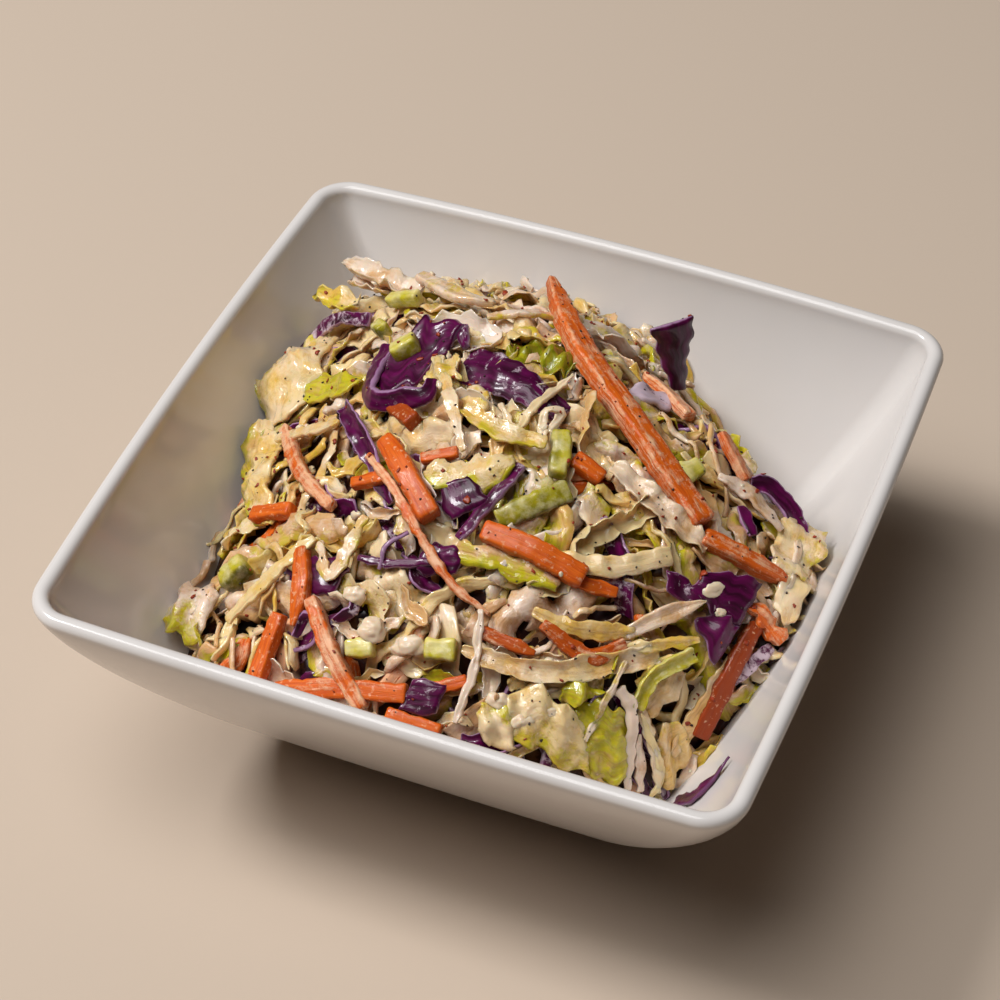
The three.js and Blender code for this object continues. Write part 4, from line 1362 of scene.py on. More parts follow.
@dataclass
class StrewnShreds:
    """The shreds that nobody placed: drawn at random and laid where the pile is still low."""

    heap: HeapForm
    pile: Pile
    seed: int = 7
    refresh: int = 40      # tries between two looks for low spots
    edge_gap: float = 4.0  # kept from the edge of the pile's grid
    poke: float = 0.7      # how far a shred may press into a piece that has its own place
    stray: float = 2.0     # how far the wall may stand over the dome under it
    margin: float = 0.35   # kept from the bowl's wall
    scatter: float = 32.0  # spread of the headings about the heap's lie, in degrees
    twist: float = 30.0    # spread of the shreds' twist, in degrees
    slide: float = 0.35    # how far one is slid along itself, as a share of its length
    sway: float = 0.06     # height of its slow waves, as a share of its length
    batches: dict[Kind, Batch] = field(default_factory=dict)

    def strew(self, carrots: Batch, reds: Batch) -> dict[Kind, Batch]:
        """Lays all the layers.

        Args:
            carrots: where strewn carrot goes.
            reds: where strewn red cabbage goes.

        Returns:
            The batch of each kind.
        """
        self.batches = {kind: Batch(f"cabbage_{kind.value}s") for kind in CABBAGE}
        self.batches |= {Kind.CARROT: carrots, Kind.RED: reds}
        random = np.random.default_rng(self.seed)
        for number, layer in enumerate(LAYERS):
            kinds = [kind for kind, _ in layer.shares]
            odds = np.array([share for _, share in layer.shares])
            laid = 0
            spots = self.pile.low_spots(layer.least)
            for count in range(layer.tries):
                if count % self.refresh == self.refresh - 1:
                    spots = self.pile.low_spots(layer.least)
                if not len(spots):
                    break
                kind = kinds[random.choice(len(kinds), p=odds / odds.sum())]
                spot = spots[random.integers(len(spots))]
                laid += self.lay(kind, spot, layer, random)
            LOG.info("layer %d: %d of %d tries laid", number, laid, layer.tries)
        return self.batches

    def lay(self, kind: Kind, spot: Array, layer: Layer, random: Random) -> bool:
        """Tries to lay one shred through a spot.

        Args:
            kind: what it is.
            spot: a point of the table under it.
            layer: how far it may stand out.
            random: where its size and form are drawn from.

        Returns:
            True if it found its place.
        """
        recipe = RECIPES[kind]
        # A line over the table, bent aside, that passes near the spot.
        length = random.uniform(*recipe.length)
        width, thick = random.uniform(*recipe.width), random.uniform(*recipe.thick)
        heading = self.heading(spot, layer.grading, random)
        bend = recipe.bend * random.normal() * 0.5
        shift = random.uniform(-self.slide, self.slide)
        count = max(5, round(length / recipe.step))
        s = np.linspace(-0.5, 0.5, count) + shift
        sway = self.sway * length * np.sin(7 * s + random.uniform(0, 6))
        curl = bend * length * (s ** 2) * 1.6 + sway
        ahead = np.array([math.cos(heading), math.sin(heading)])
        aside = np.array([-ahead[1], ahead[0]])
        line = spot + s[:, None] * length * ahead + curl[:, None] * aside
        # It is left out where it would stand out too far.
        if np.abs(line).max() > self.pile.reach - self.edge_gap:
            return False
        heights, lean = self.pile.settle(line, width, thick, recipe.sag)
        over_goal, over_roof, off = self.pile.over(line, heights, thick)
        if over_goal > layer.over or over_roof > self.poke or off > self.stray:
            return False
        green = np.sort(random.uniform(*recipe.green, size=2)) * (random.uniform() < recipe.greens)
        green = green * np.array([0.3, 1])  # one edge is greener than the other
        if random.uniform() >= 0.5:
            green = green[::-1]
        cut = Cut(
            width=width, thick=thick, ends=tuple(random.uniform(*recipe.ends, size=2)),
            skew=tuple(random.uniform(-recipe.skew, recipe.skew, size=2)),
            roll=random.normal() * recipe.roll, twist=random.normal() * self.twist,
            cup=recipe.cup * random.uniform(-1, 1.3),
            ruffle=recipe.ruffle * random.uniform(0.3, 1.3),
            ruffle_length=random.uniform(3.5, 7), ridge=recipe.ridge, wobble=recipe.wobble,
            jag=recipe.jag, crumple=recipe.crumple * random.uniform(0.5, 1.3),
            square=recipe.square, sides=recipe.sides, green=tuple(green),
            coat=random.uniform(*recipe.coat), step=recipe.step,
        )
        path = np.column_stack([line, heights])
        shell = strip(path, self.heap.normal(path), cut, int(random.integers(1 << 30)), lean)
        shell.points = self.heap.bowl.keep_in(shell.points, self.margin)
        self.pile.cover(shell.points)
        self.batches[kind].shells.append(shell)
        return True

    def heading(self, spot: Array, grading: float, random: Random) -> float:
        """The heading of a shred: free, or as the slaw lies at that place of the heap."""
        if random.uniform() > grading:
            return random.uniform(0, math.pi)
        x, y = spot
        if y < -20 and x > -5:
            lie = 25  # front right
        elif x > 0:
            lie = -12  # back right
        elif x < -35:
            lie = 75  # far left
        else:
            lie = -45  # the rest of the left
        return math.radians(lie + self.scatter * random.normal())


@dataclass
class HeapCore:
    """The inside of the heap: slaw stuck together by dressing, just under the pieces on top.

    Its dark colour is painted shade, for the shade deep in the heap.
    """

    heap: HeapForm
    pile: Pile
    sink: float = 5.2         # under the pieces on top
    margin: float = 0.5       # kept from the bowl
    around: int = 200
    steps: int = 74
    lumps: float = 0.9        # height of its lumps
    lump_length: float = 7.0  # their longest wavelength
    rounds: int = 14          # of smoothing
    seed: int = 31

    def build(self) -> Piece:
        """Makes a closed lumpy dome that follows the bowl's wall underneath."""
        angle = -2 * math.pi * np.arange(self.around) / self.around
        share = np.linspace(0.02, 1, self.steps)[:, None, None]
        direction = np.column_stack([np.cos(angle), np.sin(angle)])
        plan = share * self.edge(direction)[None, :, None] * direction[None]
        top = self.surface(plan, self.smooth_top())
        below = plan[::-1][1:]
        floor = self.heap.bowl.inside_height(below[..., 0], below[..., 1]) + self.margin
        rings = np.concatenate([top, np.concatenate([below, floor[..., None]], axis=-1)])
        last = np.array([0, 0, self.heap.bowl.inside_height(0.0, 0.0) + self.margin])
        batch = Batch("slaw_core", [plain(*loft(rings, top[0].mean(axis=0), last))])
        # Its finish is painted shade: dark colours of slaw in the shade.
        return dress(batch, "cabbage", HeapShade())

    def smooth_top(self) -> Array:
        """The top of the pile, smoothed over a few millimetres."""
        top = self.pile.top.copy()
        for _ in range(self.rounds):
            sides = [np.roll(top, shift, axis) for axis in (0, 1) for shift in (-1, 1)]
            top = 0.2 * (top + sum(sides))
        return top

    def surface(self, plan: Array, top: Array) -> Array:
        """The lumpy top over points of the table."""
        x, y = plan[..., 0], plan[..., 1]
        lumpy = self.lumps * waves(plan, self.lump_length, self.seed, 3)
        low = self.heap.bowl.inside_height(x, y) + self.margin
        under = np.minimum(top[self.pile.cells(plan)], self.heap.dome(x, y) + 1) - self.sink + lumpy
        return np.concatenate([plan, np.maximum(under, low)[..., None]], axis=-1)

    def edge(self, direction: Array) -> Array:
        """How far the core reaches in each direction, before the wall is higher than it."""
        reach = np.linspace(5, 66, 245)  # mm, in quarters
        spots = reach[:, None, None] * direction[None]
        dome = self.heap.dome(spots[..., 0], spots[..., 1]) - self.sink
        wall = self.heap.bowl.inside_height(spots[..., 0], spots[..., 1]) + self.margin
        meets = np.argmax(dome < wall, axis=0)
        return reach[meets]


# Pieces with a place of their own. A strip has its points [x, y, lift over the bed], its cut and,
# where it rolls along the way, the roll at each point in degrees. A leaf piece has the points of
# its near side, those of its far side, and its cut.
PlacedStrip = tuple[Knots, Cut] | tuple[Knots, Cut, Sequence[float]]
PlacedLeaf = tuple[Knots, Knots, LeafCut]


@dataclass
class HandPlaced:
    """Base of the sub-assemblies whose pieces each have a place of their own."""

    heap: HeapForm
    pile: Pile
    batch: Batch
    slot: str
    finish: Finish
    margin: float = 0.4  # kept from the bowl's wall

    def dress(self) -> Piece:
        """Makes the mesh of all its pieces and dresses it."""
        return dress(self.batch, self.slot, self.finish)

    def lay_strips(self, strips: Sequence[PlacedStrip], seed: int) -> None:
        """Adds strips at their places."""
        for number, (points, cut, *rolls) in enumerate(strips):
            knots = self.heap.place(points)
            length = np.linalg.norm(np.diff(knots, axis=0), axis=1).sum()
            path = spline(knots, max(5, round(length / cut.step)))
            lean = None
            if rolls:
                turns = np.linspace(0, 1, len(rolls[0]))
                lean = np.radians(np.interp(np.linspace(0, 1, len(path)), turns, rolls[0]))
            self.keep(strip(path, self.heap.normal(path), cut, seed + 10 * number, lean))

    def lay_leaves(self, leaves: Sequence[PlacedLeaf], seed: int) -> None:
        """Adds leaf pieces at their places."""
        for number, (near, far, cut) in enumerate(leaves):
            self.keep(leaf(self.heap.place(near), self.heap.place(far), cut, seed + 10 * number))

    def keep(self, shell: Shell) -> None:
        """Keeps a piece off the bowl and other shreds from going through it."""
        shell.points = self.heap.bowl.keep_in(shell.points, self.margin)
        self.pile.cover(shell.points, hand_placed=True)
        self.batch.shells.append(shell)


def baton(width: float, thick: float, ends: Pair = (1, 1), coat: float = 0.3,
          **more: object) -> Cut:
    """The cut of a carrot baton."""
    return Cut(width, thick, ends, late=3, sides=20, step=0.9, coat=coat, blunt=0.12, shrink=0.86,
               **{"square": 6.0, "wobble": 0.06, "jag": 0.13, "crumple": 0.03, **more})


# On a baton, a raised `green` darkens its flesh: painted shade for batons that lie in shade.
CARROTS = (
    ([[-7.5, 42, 8], [5.5, 23.5, 3], [22.5, 9, 2.6], [39.5, -2, 2.6]],
     baton(4.9, 4.0, (0.3, 1.05), 0.31)),
    ([[-20, -11, 2.8], [-13, -18, 3.4], [-6, -24, 3]],
     baton(4.4, 4.0, (0.8, 1), 0.1, wobble=0.04, jag=0.08)),
    ([[-23, -13, 2], [-15, -20, 2.6], [-7, -27, 2.6], [2, -33, 2], [10, -35, 1]],
     baton(2.0, 1.7, (0.8, 0.4), 0.33, wobble=0.12, jag=0.16, square=3.4)),
    ([[5, -23.5, 2.4], [14, -24, 3], [24, -24, 2.4]], baton(4.5, 3.8, (0.9, 1), 0.2)),
    ([[41, -4, 1.4], [48, -3, 2.2], [56, -1, 2.2]],
     baton(3.6, 3.0, (1, 0.5), 0.27, green=(0.1, 0.1))),
    # Painted shade: this baton lies in the shade of the wall, and its raised tint darkens it.
    ([[54.2, -11.5, 0.6], [53.4, -16.2, 0.9], [52.2, -22, 1.2], [50.2, -29.6, 1]],
     baton(3.4, 2.8, (0.9, 1), 0.18, green=(0.9, 0.9))),
    ([[52.4, -10, 1.6], [55.6, -10.6, 2.4], [59, -11.2, 1.4]],
     baton(3.0, 2.0, (0.6, 1.3), 0.29, jag=0.9, crumple=0.6, rough=0.25)),
    ([[-49, 4, 1.8], [-38, -12, 1.4], [-27, -22, 0.8]], baton(2.8, 2.4, (0.8, 0.8), 0.36)),
    ([[-45, -19, 1.6], [-36, -21, 1]], baton(3.0, 2.6, (1, 1), 0.2)),
    ([[-29, -31, 2], [-26, -38, 2.6], [-25, -44, 1.8]], baton(3.3, 2.6, (0.8, 0.3), 0.25)),
    ([[-29, -42, 1.2], [-29.5, -54, 1.2]], baton(3.3, 2.8, (0.8, 1), 0.2)),
    ([[-23, -40, 2], [-16, -48, 2.8], [-7, -54.5, 2]], baton(3.2, 2.7, (0.8, 0.8), 0.35)),
    ([[-27, -54, 1], [-13, -52.5, 1.4], [0, -50.5, 1.2]], baton(3.8, 2.6, (0.6, 1), 0.25)),
    ([[-2, -54, 1], [8, -54, 1]], baton(3.2, 2.4, (1, 1), 0.2)),
    ([[10, -38, 1], [20, -37.5, 1.2]], baton(2.6, 2.2, (1, 0.4), 0.28, green=(0.4, 0.4))),
    ([[20, -33, 1.2], [29, -33, 1.2], [34, -28, 1.2]],
     baton(3.0, 2.4, (0.7, 0.7), 0.28, green=(0.4, 0.4))),
    ([[17, 30, 0.6], [23, 26, 1.6], [29, 21, 1.2]], baton(2.8, 2.2, (0.5, 1), 0.36)),
    ([[36, 20, 2.4], [43, 15, 2]], baton(2.4, 2.0, (0.6, 1), 0.36)),
    ([[15, -4, 0.8], [20.5, -5, 0.6]], baton(3.2, 2.8, (1, 1), 0.2)),
    ([[35, -24, 1.2], [40, -20.5, 1.2]], baton(2.6, 2.2, (1, 0.7), 0.15)),
    ([[5, -48, 0.6], [10, -45.5, 0.8]], baton(2.4, 2.0, (1, 1), 0.25)),
    ([[-12, -13, 1.2], [-6, -10.5, 1]], baton(2.2, 1.8, (1, 1), 0.3)),
    ([[-23.5, 0, 0.6], [-17.5, -4.5, 0.8]], baton(3.4, 2.6, (1, 1), 0.0, green=(0.7, 0.7))),
    ([[-24, -18, 1], [-18, -17, 1.2]], baton(2.4, 2.0, (1, 1), 0.25)),
    ([[23, -24, 0.6], [30, -22, 0.6]], baton(2.6, 2.2, (1, 0.8), 0.2)),
)


def red(width: float, thick: float = 1.0, coat: float = 0.3, **more: object) -> Cut:
    """The cut of a strip of red cabbage."""
    return Cut(width, thick, square=5.0, sides=16, step=0.7, coat=coat, jag=0.15, crumple=0.2,
               shrink=0.9, blunt=0.1, **more)


RED_STRIPS = (
    ([[-30.9, 15.5, 3.2], [-31.4, 10, 3], [-30.8, 5.4, 2.9], [-29.3, 2, 2.8], [-25.7, -0.2, 2.8],
      [-22.5, 0.1, 2.6], [-19.2, -0.2, 2.4], [-16.8, 0.6, 2.4], [-17.2, 4, 2.4]],
     red(4.2, 1.6, 0.26, ends=(0.9, 0.6)), (0, 8, 15, 30, 50, 60, 60, 50, 30)),
    ([[-33.5, -1, 5], [-28, -7.5, 4], [-22.5, -13, 2], [-19, -17, 0.8], [-15, -21, 0]],
     red(4.0, 1.1, 0.22, ends=(0.8, 0.3), roll=20, cup=0.5)),
    ([[6.6, -10.1, 1.8], [5.2, -14.7, 2.4], [3.3, -19.8, 2.4], [0.5, -25.6, 1.7]],
     red(2.7, 1.2, 0.36, ends=(0.85, 0.7), roll=25)),
    ([[-58, 31, 1.8], [-50, 31, 3.2], [-41, 28, 1.6]], red(3.0, 1.1, 0.4, ends=(0.4, 1), roll=30)),
    ([[44, 15, 2], [47, 16.5, 4.4], [52, 15.5, 4.6], [57, 11, 2.6]],
     red(4.2, 1.1, 0.25, ends=(0.8, 0.3), roll=30, cup=0.4)),
    ([[-9, -27, 1.8], [-12, -30, 2.6], [-12.5, -33, 0.8]], red(1.7, 1.0, 0.35, roll=70)),
    ([[-17, -32, 1], [-10, -32, 1.2], [-3, -30, 1]], red(1.8, 1.1, 0.3)),
    ([[-24.5, -45, 0.4], [-23.5, -42.5, 1.6], [-20.5, -43.5, 1.8], [-20.5, -46.5, 1.2],
      [-23.5, -47.5, 1.2]], red(2.2, 1.0, 0.35, roll=55)),
    ([[-17.5, -42, 0.8], [-14.5, -41, 2], [-15.5, -38, 0.8]], red(2.0, 1.0, 0.35, roll=40)),
    ([[40, -39, 1.2], [41, -34, 1]], red(1.6, 1.0, 0.2, ends=(0.3, 1))),
    ([[44, 9, 0.6], [48, 4.5, 0.8]], red(2.6, 1.0, 0.2, roll=20)),
    ([[53.6, -21, 0.5], [55.8, -17, 1.0], [57.9, -12.7, 0.6]], red(2.6, 0.9, 0.5, ends=(0.5, 0.8))),
)


def skin(thick: float = 1.1, **more: object) -> LeafCut:
    """The cut of a stiff, smooth piece of red cabbage leaf."""
    return LeafCut(thick, **{"wave": 0.3, "turns": 1.0, "ends": (0.95, 0.9), "ragged": 0.22,
                             "crumple": 0.15, "vein": 0.06, "step": 0.7, "coat": 0.22, **more})


RED_LEAVES = (
    ([[-13.5, 7.5, 1.4], [-2, 5, 1.8], [8.5, 3.5, 1.4]],
     [[-13.5, 16.5, 3], [-3, 12.5, 3.6], [10, 7.5, 3]],
     skin(1.2, fold=0.6, ragged=0.08, coat=0.34)),
    ([[-30, 7, 1.6], [-23.4, 3.4, 1], [-20.8, 8.6, 1], [-18.6, 13.5, 1.4]],
     [[-29.6, 14.8, 3.2], [-26.7, 17.7, 4.4], [-22.6, 19.9, 5], [-16.6, 19, 4.4]],
     skin(1.9, bulge=-0.8, coat=0.16, ends=(1, 0.9), ragged=0.15)),
    ([[-17.2, 18.6, 4.2], [-15.4, 14.6, 2.4]], [[-15.8, 19, 4.6], [-14.2, 15, 2.8]],
     skin(1.6, coat=0.3, ragged=0.15, step=0.5)),
    ([[22, 31.5, 2], [19.1, 31.7, 8.7], [17.4, 30.6, 13]],
     [[24, 33.6, 5], [23.7, 35.7, 16], [23.4, 37.3, 23.7]],
     skin(bulge=0.8, coat=0.2, ends=(0.9, 1), ragged=0.1)),
    ([[-6.5, -17.5, 1.2], [-2.5, -22.6, 1]], [[-1.5, -15, 2.2], [4, -17.9, 2]],
     skin(bulge=0.5, coat=0.26)),
    ([[17, 18, 0.2], [25, 21, 0.4]], [[18, 23.5, 1.2], [24, 25, 1.4]], skin(coat=0.6)),
    ([[42, -14.9, 2.6], [45.2, -15.3, 2.7], [48.4, -15.6, 2.8], [51.6, -15, 3]],
     [[43.8, -11.2, 3.4], [47.6, -8.8, 4], [50.7, -6.9, 4], [53, -6.2, 3.6]],
     skin(bulge=0.5, ends=(1, 1), coat=0.26)),
    ([[44.6, -18.6, 2.8], [47.6, -20.8, 3], [49.8, -21.8, 3]],
     [[47, -16.1, 2.6], [49.6, -15.5, 3.2], [51.9, -15.2, 3.3]],
     skin(1.4, bulge=0.4, ends=(1, 1), coat=0.22)),
    ([[37.4, -14.6, 2], [39, -17, 2.2], [41.9, -17.2, 2.2]],
     [[39.4, -14, 2.8], [42.4, -14.3, 3], [44.6, -15.4, 2.8]], skin(ends=(0.8, 0.9), coat=0.32)),
    ([[0, -53, 1.6], [6.5, -52, 1.6]], [[1, -48.5, 2], [7, -47.5, 2]], skin(coat=0.34)),
    ([[-27, -37.5, 0.2], [-20, -38.5, 0.6]], [[-26, -31.5, 0.6], [-18.5, -33, 0.8]],
     skin(bulge=0.6, coat=0.2, ragged=0.4)),
    ([[-5.5, -31.5, 0.2], [1.5, -30.5, 0.4]], [[-4.5, -27, 0.5], [2, -26, 0.6]],
     skin(bulge=0.5, coat=0.26, ragged=0.4)),
)


def stalk(width: float, thick: float, green: float, **more: object) -> Cut:
    """The cut of a short piece of green stalk."""
    return Cut(width, thick, ends=(0.9, 0.95), square=4.6, sides=20, step=0.5, jag=0.18,
               crumple=0.12, green=(green - 0.25, green + 0.15), coat=0.42, blunt=0.1, shrink=0.84,
               **more)


STALKS = (
    ([[-38, 32, 3], [-31.5, 31, 3.4]], stalk(3.0, 3.0, 0.2)),
    ([[-28.5, 12.5, 3.8], [-25, 14.5, 4]], stalk(4.2, 4.0, 0.3)),
    ([[-37, 23.5, 2.6], [-34.5, 21, 3]], stalk(3.0, 3.2, 0.6)),
    ([[11, -1, 1.6], [12.5, -5, 1.8], [13.3, -9, 1.8]], stalk(4.2, 3.8, 0.55)),
    ([[-44.5, -33.5, 1.8], [-41.5, -31, 2]], stalk(4.6, 4.0, 0.55)),
    ([[1.5, -43.5, 1.8], [6.5, -42.5, 2]], stalk(4.2, 3.2, 0.35)),
    ([[-13, -46.5, 1.4], [-8.5, -45.5, 1.6]], stalk(3.6, 3.0, 0.15)),
    ([[33, 4, 2], [35, 8.5, 2.2]], stalk(4.4, 3.4, 0.25)),
    ([[6, -20, 0.8], [11, -16, 1.4], [16, -10.5, 1]], stalk(4.6, 2.4, 0.8, roll=15)),
    ([[39, -34, 2.6], [39.6, -31.4, 3.2], [41, -28.6, 3.6], [46, -23, 3.6]],
     stalk(3.0, 1.8, 0.5, cup=0.8)),
)

GREEN_LEAVES = (
    ([[-50, 11, 1], [-36, 6, 1.8]], [[-48, 17, 1.4], [-35, 11, 2]],
     LeafCut(0.8, 0.4, green=(0.6, 0.75), coat=0.3, ragged=0.3, crumple=0.25)),
    ([[-47, 6, 1.5], [-47.5, 16, 2], [-48, 28, 0.8]],
     [[-58, 9, 0.2], [-60, 19, 1.2], [-56, 32, 1.4]],
     LeafCut(0.9, 0.9, green=(0.0, 0.55), fade=3, coat=0.58, bulge=2.5, ragged=0.3, vein=0.25,
             crumple=0.45)),
    ([[-40, -22, 1.2], [-44, -13, 2], [-48, -2, 2], [-53, 8, 1.6]],
     [[-45, -20, -0.4], [-53.5, -7, 0.4], [-57, 1, 1], [-59, 7, 1]],
     LeafCut(0.8, 0.8, green=(0.1, 0.9), fade=3, coat=0.5, bulge=1.6, ragged=0.3, crumple=0.7)),
    ([[-19.5, 4.5, 3.2], [-11, 5, 3.4]], [[-20.5, 11, 3.6], [-14, 11, 4]],
     LeafCut(0.8, 0.8, green=(0.3, 0.1), coat=0.5, bulge=1, crumple=0.4)),
    ([[-7, 15, 1.4], [6, 14, 1.6]], [[-4, 22, 1.8], [8, 21, 2]],
     LeafCut(0.5, 1.2, 3.5, green=(1.0, 1.5), coat=0.15, crumple=1.0, ragged=1.2)),
    ([[1, -29, 1], [10, -28.5, 1.2], [20, -28, 1.2]],
     [[1, -25, 1.4], [10, -25, 1.6], [20, -25, 1.6]],
     LeafCut(0.8, 0.4, green=(0.95, 0.2), fade=0.6, coat=0.35)),
    ([[-55, -42, 0.6], [-46, -45, 0.6]], [[-54, -32, 1.8], [-45, -34, 1.2]],
     LeafCut(1.0, 0.9, green=(0.8, 0.1), fade=0.7, coat=0.6, bulge=2)),
    ([[33, -47, 1], [37, -45, 1.2], [41, -42, 1]],
     [[28.5, -41.5, 2], [33, -37.5, 2.8], [38, -35, 2.6]],
     LeafCut(0.6, 0.7, 1.3, green=(0.5, 0.8), coat=0.34, bulge=1.2, ragged=0.4, crumple=0.6,
             vein=0.3, vein_gap=3.0, step=0.6)),
    ([[26.5, -42, 2], [31, -39, 2.4]], [[27.5, -38.5, 3.4], [33.5, -36, 3.6]],
     LeafCut(0.6, 0.9, 1.5, green=(0.6, 0.9), coat=0.3, bulge=1.2, ragged=0.5, crumple=0.6,
             step=0.6)),
    ([[21, -50.5, 0.8], [28, -48.6, 1], [34.5, -46.5, 1]],
     [[17.5, -44.5, 1.8], [23, -42, 2.2], [31, -40.8, 2.4]],
     LeafCut(1.0, 0.7, 1.2, green=(0.5, 0.0), coat=0.6, bulge=1.6, ragged=0.4, crumple=0.6,
             step=0.6)),
    ([[15, -52, 0.6], [22, -51.5, 0.6]], [[13.5, -47.5, 1.4], [20, -46, 1.6]],
     LeafCut(1.0, 0.6, green=(0.1, 0.6), coat=0.6, bulge=1.2, ragged=0.4, crumple=0.6, step=0.6)),
    ([[42, -33, 0.6], [46, -25, 0.8]], [[37, -31, 1.8], [42, -24, 1.6]],
     LeafCut(0.8, 0.6, green=(0.0, 0.3), coat=0.5, crumple=0.5, ragged=0.4)),
    ([[50, -32, 0.4], [47, -38, 0.4]], [[45.5, -30, 1.2], [43, -35, 1]],
     LeafCut(0.8, 0.6, green=(0.0, 0.2), coat=0.45, crumple=0.5, ragged=0.4)),
    ([[52, 0, 1.4], [51, 15, 2.8]], [[60, 2, 2.2], [60.5, 17, 3.6]],
     LeafCut(0.8, 0.9, green=(0.1, 0.45), coat=0.56)),
    ([[54.8, -2.5, 2], [56.7, -6.8, 2.4], [58.6, -9.2, 2.6]],
     [[58.9, 5.6, 2.4], [60.6, 0, 2.4], [61, -7.5, 2.4]],
     LeafCut(0.9, 0.4, green=(0.0, 0.15), coat=0.6, ragged=0.2, crumple=0.25, bulge=0.5)),
    ([[-12, -19, 1.4], [3, -16, 1.8], [6, -11, 2]], [[-9, -13, 2], [0, -11, 2.2], [4, -8, 2.2]],
     LeafCut(0.9, 0.6, green=(0.9, 0.1), fade=0.35, coat=0.6, bulge=0.8)),
)


def shred(width: float, thick: float = 1.3, coat: float = 0.5, **more: object) -> Cut:
    """The cut of a cabbage shred that has its own place."""
    return Cut(width, 0.66 * thick, **{
        "sides": 18, "step": 0.8, "coat": coat, "wobble": 0.15, "ridge": 0.1, "jag": 0.3,
        "crumple": 0.28, "square": 5.0, **more})


SHREDS = (
    ([[8, -42, 1.8], [22, -40, 2.4], [33, -32, 2.4], [40, -26, 1.8]],
     shred(4.6, 1.7, ends=(0.5, 0.8), cup=0.6)),
    ([[34, -29, 2], [40, -25, 2.6], [46, -20.5, 2.6]], shred(2.4, 1.3, green=(0, 0.3))),
    ([[18, -32, 1.6], [26, -31, 2], [35, -26, 1.8]], shred(3.4, 1.4, 0.4, roll=15)),
    ([[34, -26.5, 1.6], [40, -21, 3.6], [45.4, -16.2, 4.8]],
     shred(3.6, 1.9, ends=(0.6, 0.15), cup=0.2, jag=0.1, crumple=0.15)),
    ([[19, -23, 1.6], [29, -19, 2], [37, -12, 2.4]], shred(4.0, 1.6, 0.6, ends=(0.7, 1))),
    ([[22, -2, 1.6], [33, -5, 2.4], [42, -6, 2]], shred(4.8, 1.6, 0.55, cup=0.5, ruffle=0.6)),
    ([[39, 10.5, 1.6], [45, 11.5, 3], [52, 9.5, 3]], shred(3.4, 1.5, 0.5)),
    ([[-2, 1, 2.8], [3, -3.5, 3.4], [4, 2, 3.4], [8, 13, 4]], shred(1.7, 1.4, 0.7, square=2.6)),
    ([[8, -3, 2.4], [6.5, 1.5, 3.6], [9.5, 3.5, 3.6], [8.5, -1, 2.6]],
     shred(2.0, 1.2, 0.7, square=2.6)),
    ([[-14, 25, 2.4], [-7, 29, 3], [0, 34, 2.4]], shred(2.6, 1.4, green=(0, 0.4))),
    ([[-33.4, 37.4, 5.8], [-22, 30, 4.4], [-15.4, 30.4, 3]],
     shred(3.8, 2.6, 0.5, ends=(0.8, 0.4), green=(0.2, 0.2), crumple=0.12, jag=0.05, wobble=0.08)),
    ([[-53.5, 43, 15], [-46, 39, 9], [-33, 34.6, 3]],
     shred(5.4, 0.9, ends=(0.2, 1), cup=1.2, ruffle=0.6, crumple=0.8)),
    ([[-56.8, 37, 11.4], [-46, 33.4, 3.4]],
     shred(4.6, 0.9, green=(0.2, 0.5), cup=0.8, ruffle=0.6, crumple=0.8, ends=(0.7, 1))),
    ([[-50, 40, 9], [-40, 36, 4]], shred(5.0, 0.9, green=(0, 0.2), cup=1, crumple=0.8)),
    ([[53, -17, 0.6], [49.5, -27, 1], [46.5, -34, 0.8]], shred(3.6, 1.2, 0.45)),
    ([[35.6, -34.5, 3.4], [38.6, -35.4, 4], [39.8, -39.4, 2.8], [41, -42.6, 1.6]],
     shred(2.4, 1.4, 0.7, square=2.6, ends=(1.3, 0.4))),
    ([[35.4, -30.6, 3], [34.7, -35.7, 4.6], [33.4, -40.9, 3.8], [32.6, -43.4, 3]],
     shred(1.5, 1.2, 0.55, green=(0.2, 0.4), square=2.6)),
    ([[40.2, -34.4, 3.4], [43.3, -36.2, 3.7], [45.8, -37.6, 2.6], [44.8, -40.2, 1.2]],
     shred(1.6, 1.0, 0.6, square=2.6)),
    ([[-49.5, 1, 2.8], [-34, -3, 2.8]], shred(2.8, 1.6)),
    ([[-59, 13.4, 2.2], [-58, 16.6, 3.8], [-55.4, 17.4, 4.6], [-50.6, 10, 3.4]],
     shred(0.9, 0.8, 0.3, green=(0.7, 0.9), square=2.4)),
    ([[-40, -42, 2.2], [-33.5, -36, 3.2], [-27.5, -29.5, 2.6]], shred(2.9, 1.6, 0.6)),
    ([[-26, -30, 2], [-21, -36, 2.6], [-18, -26, 2.8]], shred(2.6, 1.4, green=(0, 0.4))),
    ([[9, -36, 2.8], [11, -44, 2.8], [10.5, -52, 1.8]], shred(1.7, 1.3, 0.65, square=2.6)),
    ([[-19, 11, 2.6], [-11, -1.5, 2.8], [-5, -10.5, 2]], shred(2.6, 1.4, ends=(0.8, 0.4))),
    ([[-8, -2, 1.8], [1, -5, 2.2], [9, -4, 1.6]], shred(4.4, 1.4, 0.5, cup=0.4, green=(0, 0.5))),
    ([[39, -33, 2], [43.5, -36, 2.6], [46, -39, 1.6]], shred(2.0, 1.3, 0.6)),
    ([[40.5, -36, 1.6], [43, -41, 1.4]], shred(1.8, 1.2, 0.6)),
    ([[57, -10.5, 1.6], [57.5, 0, 2], [55.5, 13, 3.6]], shred(2.8, 1.4, 0.5, roll=30)),
    ([[19.5, 42, 3], [24, 38, 6]], shred(3.0, 1.4, 0.5)),
)


@dataclass
class CarrotBatons(HandPlaced):
    """Carrot, cut in batons 2 to 5 mm wide."""

    batch: Batch = field(default_factory=lambda: Batch("carrot_batons"))
    slot: str = "carrot"
    finish: Finish = CutCarrot()

    def build(self) -> None:
        """Lays the batons that have their own place."""
        self.lay_strips(CARROTS, 1000)


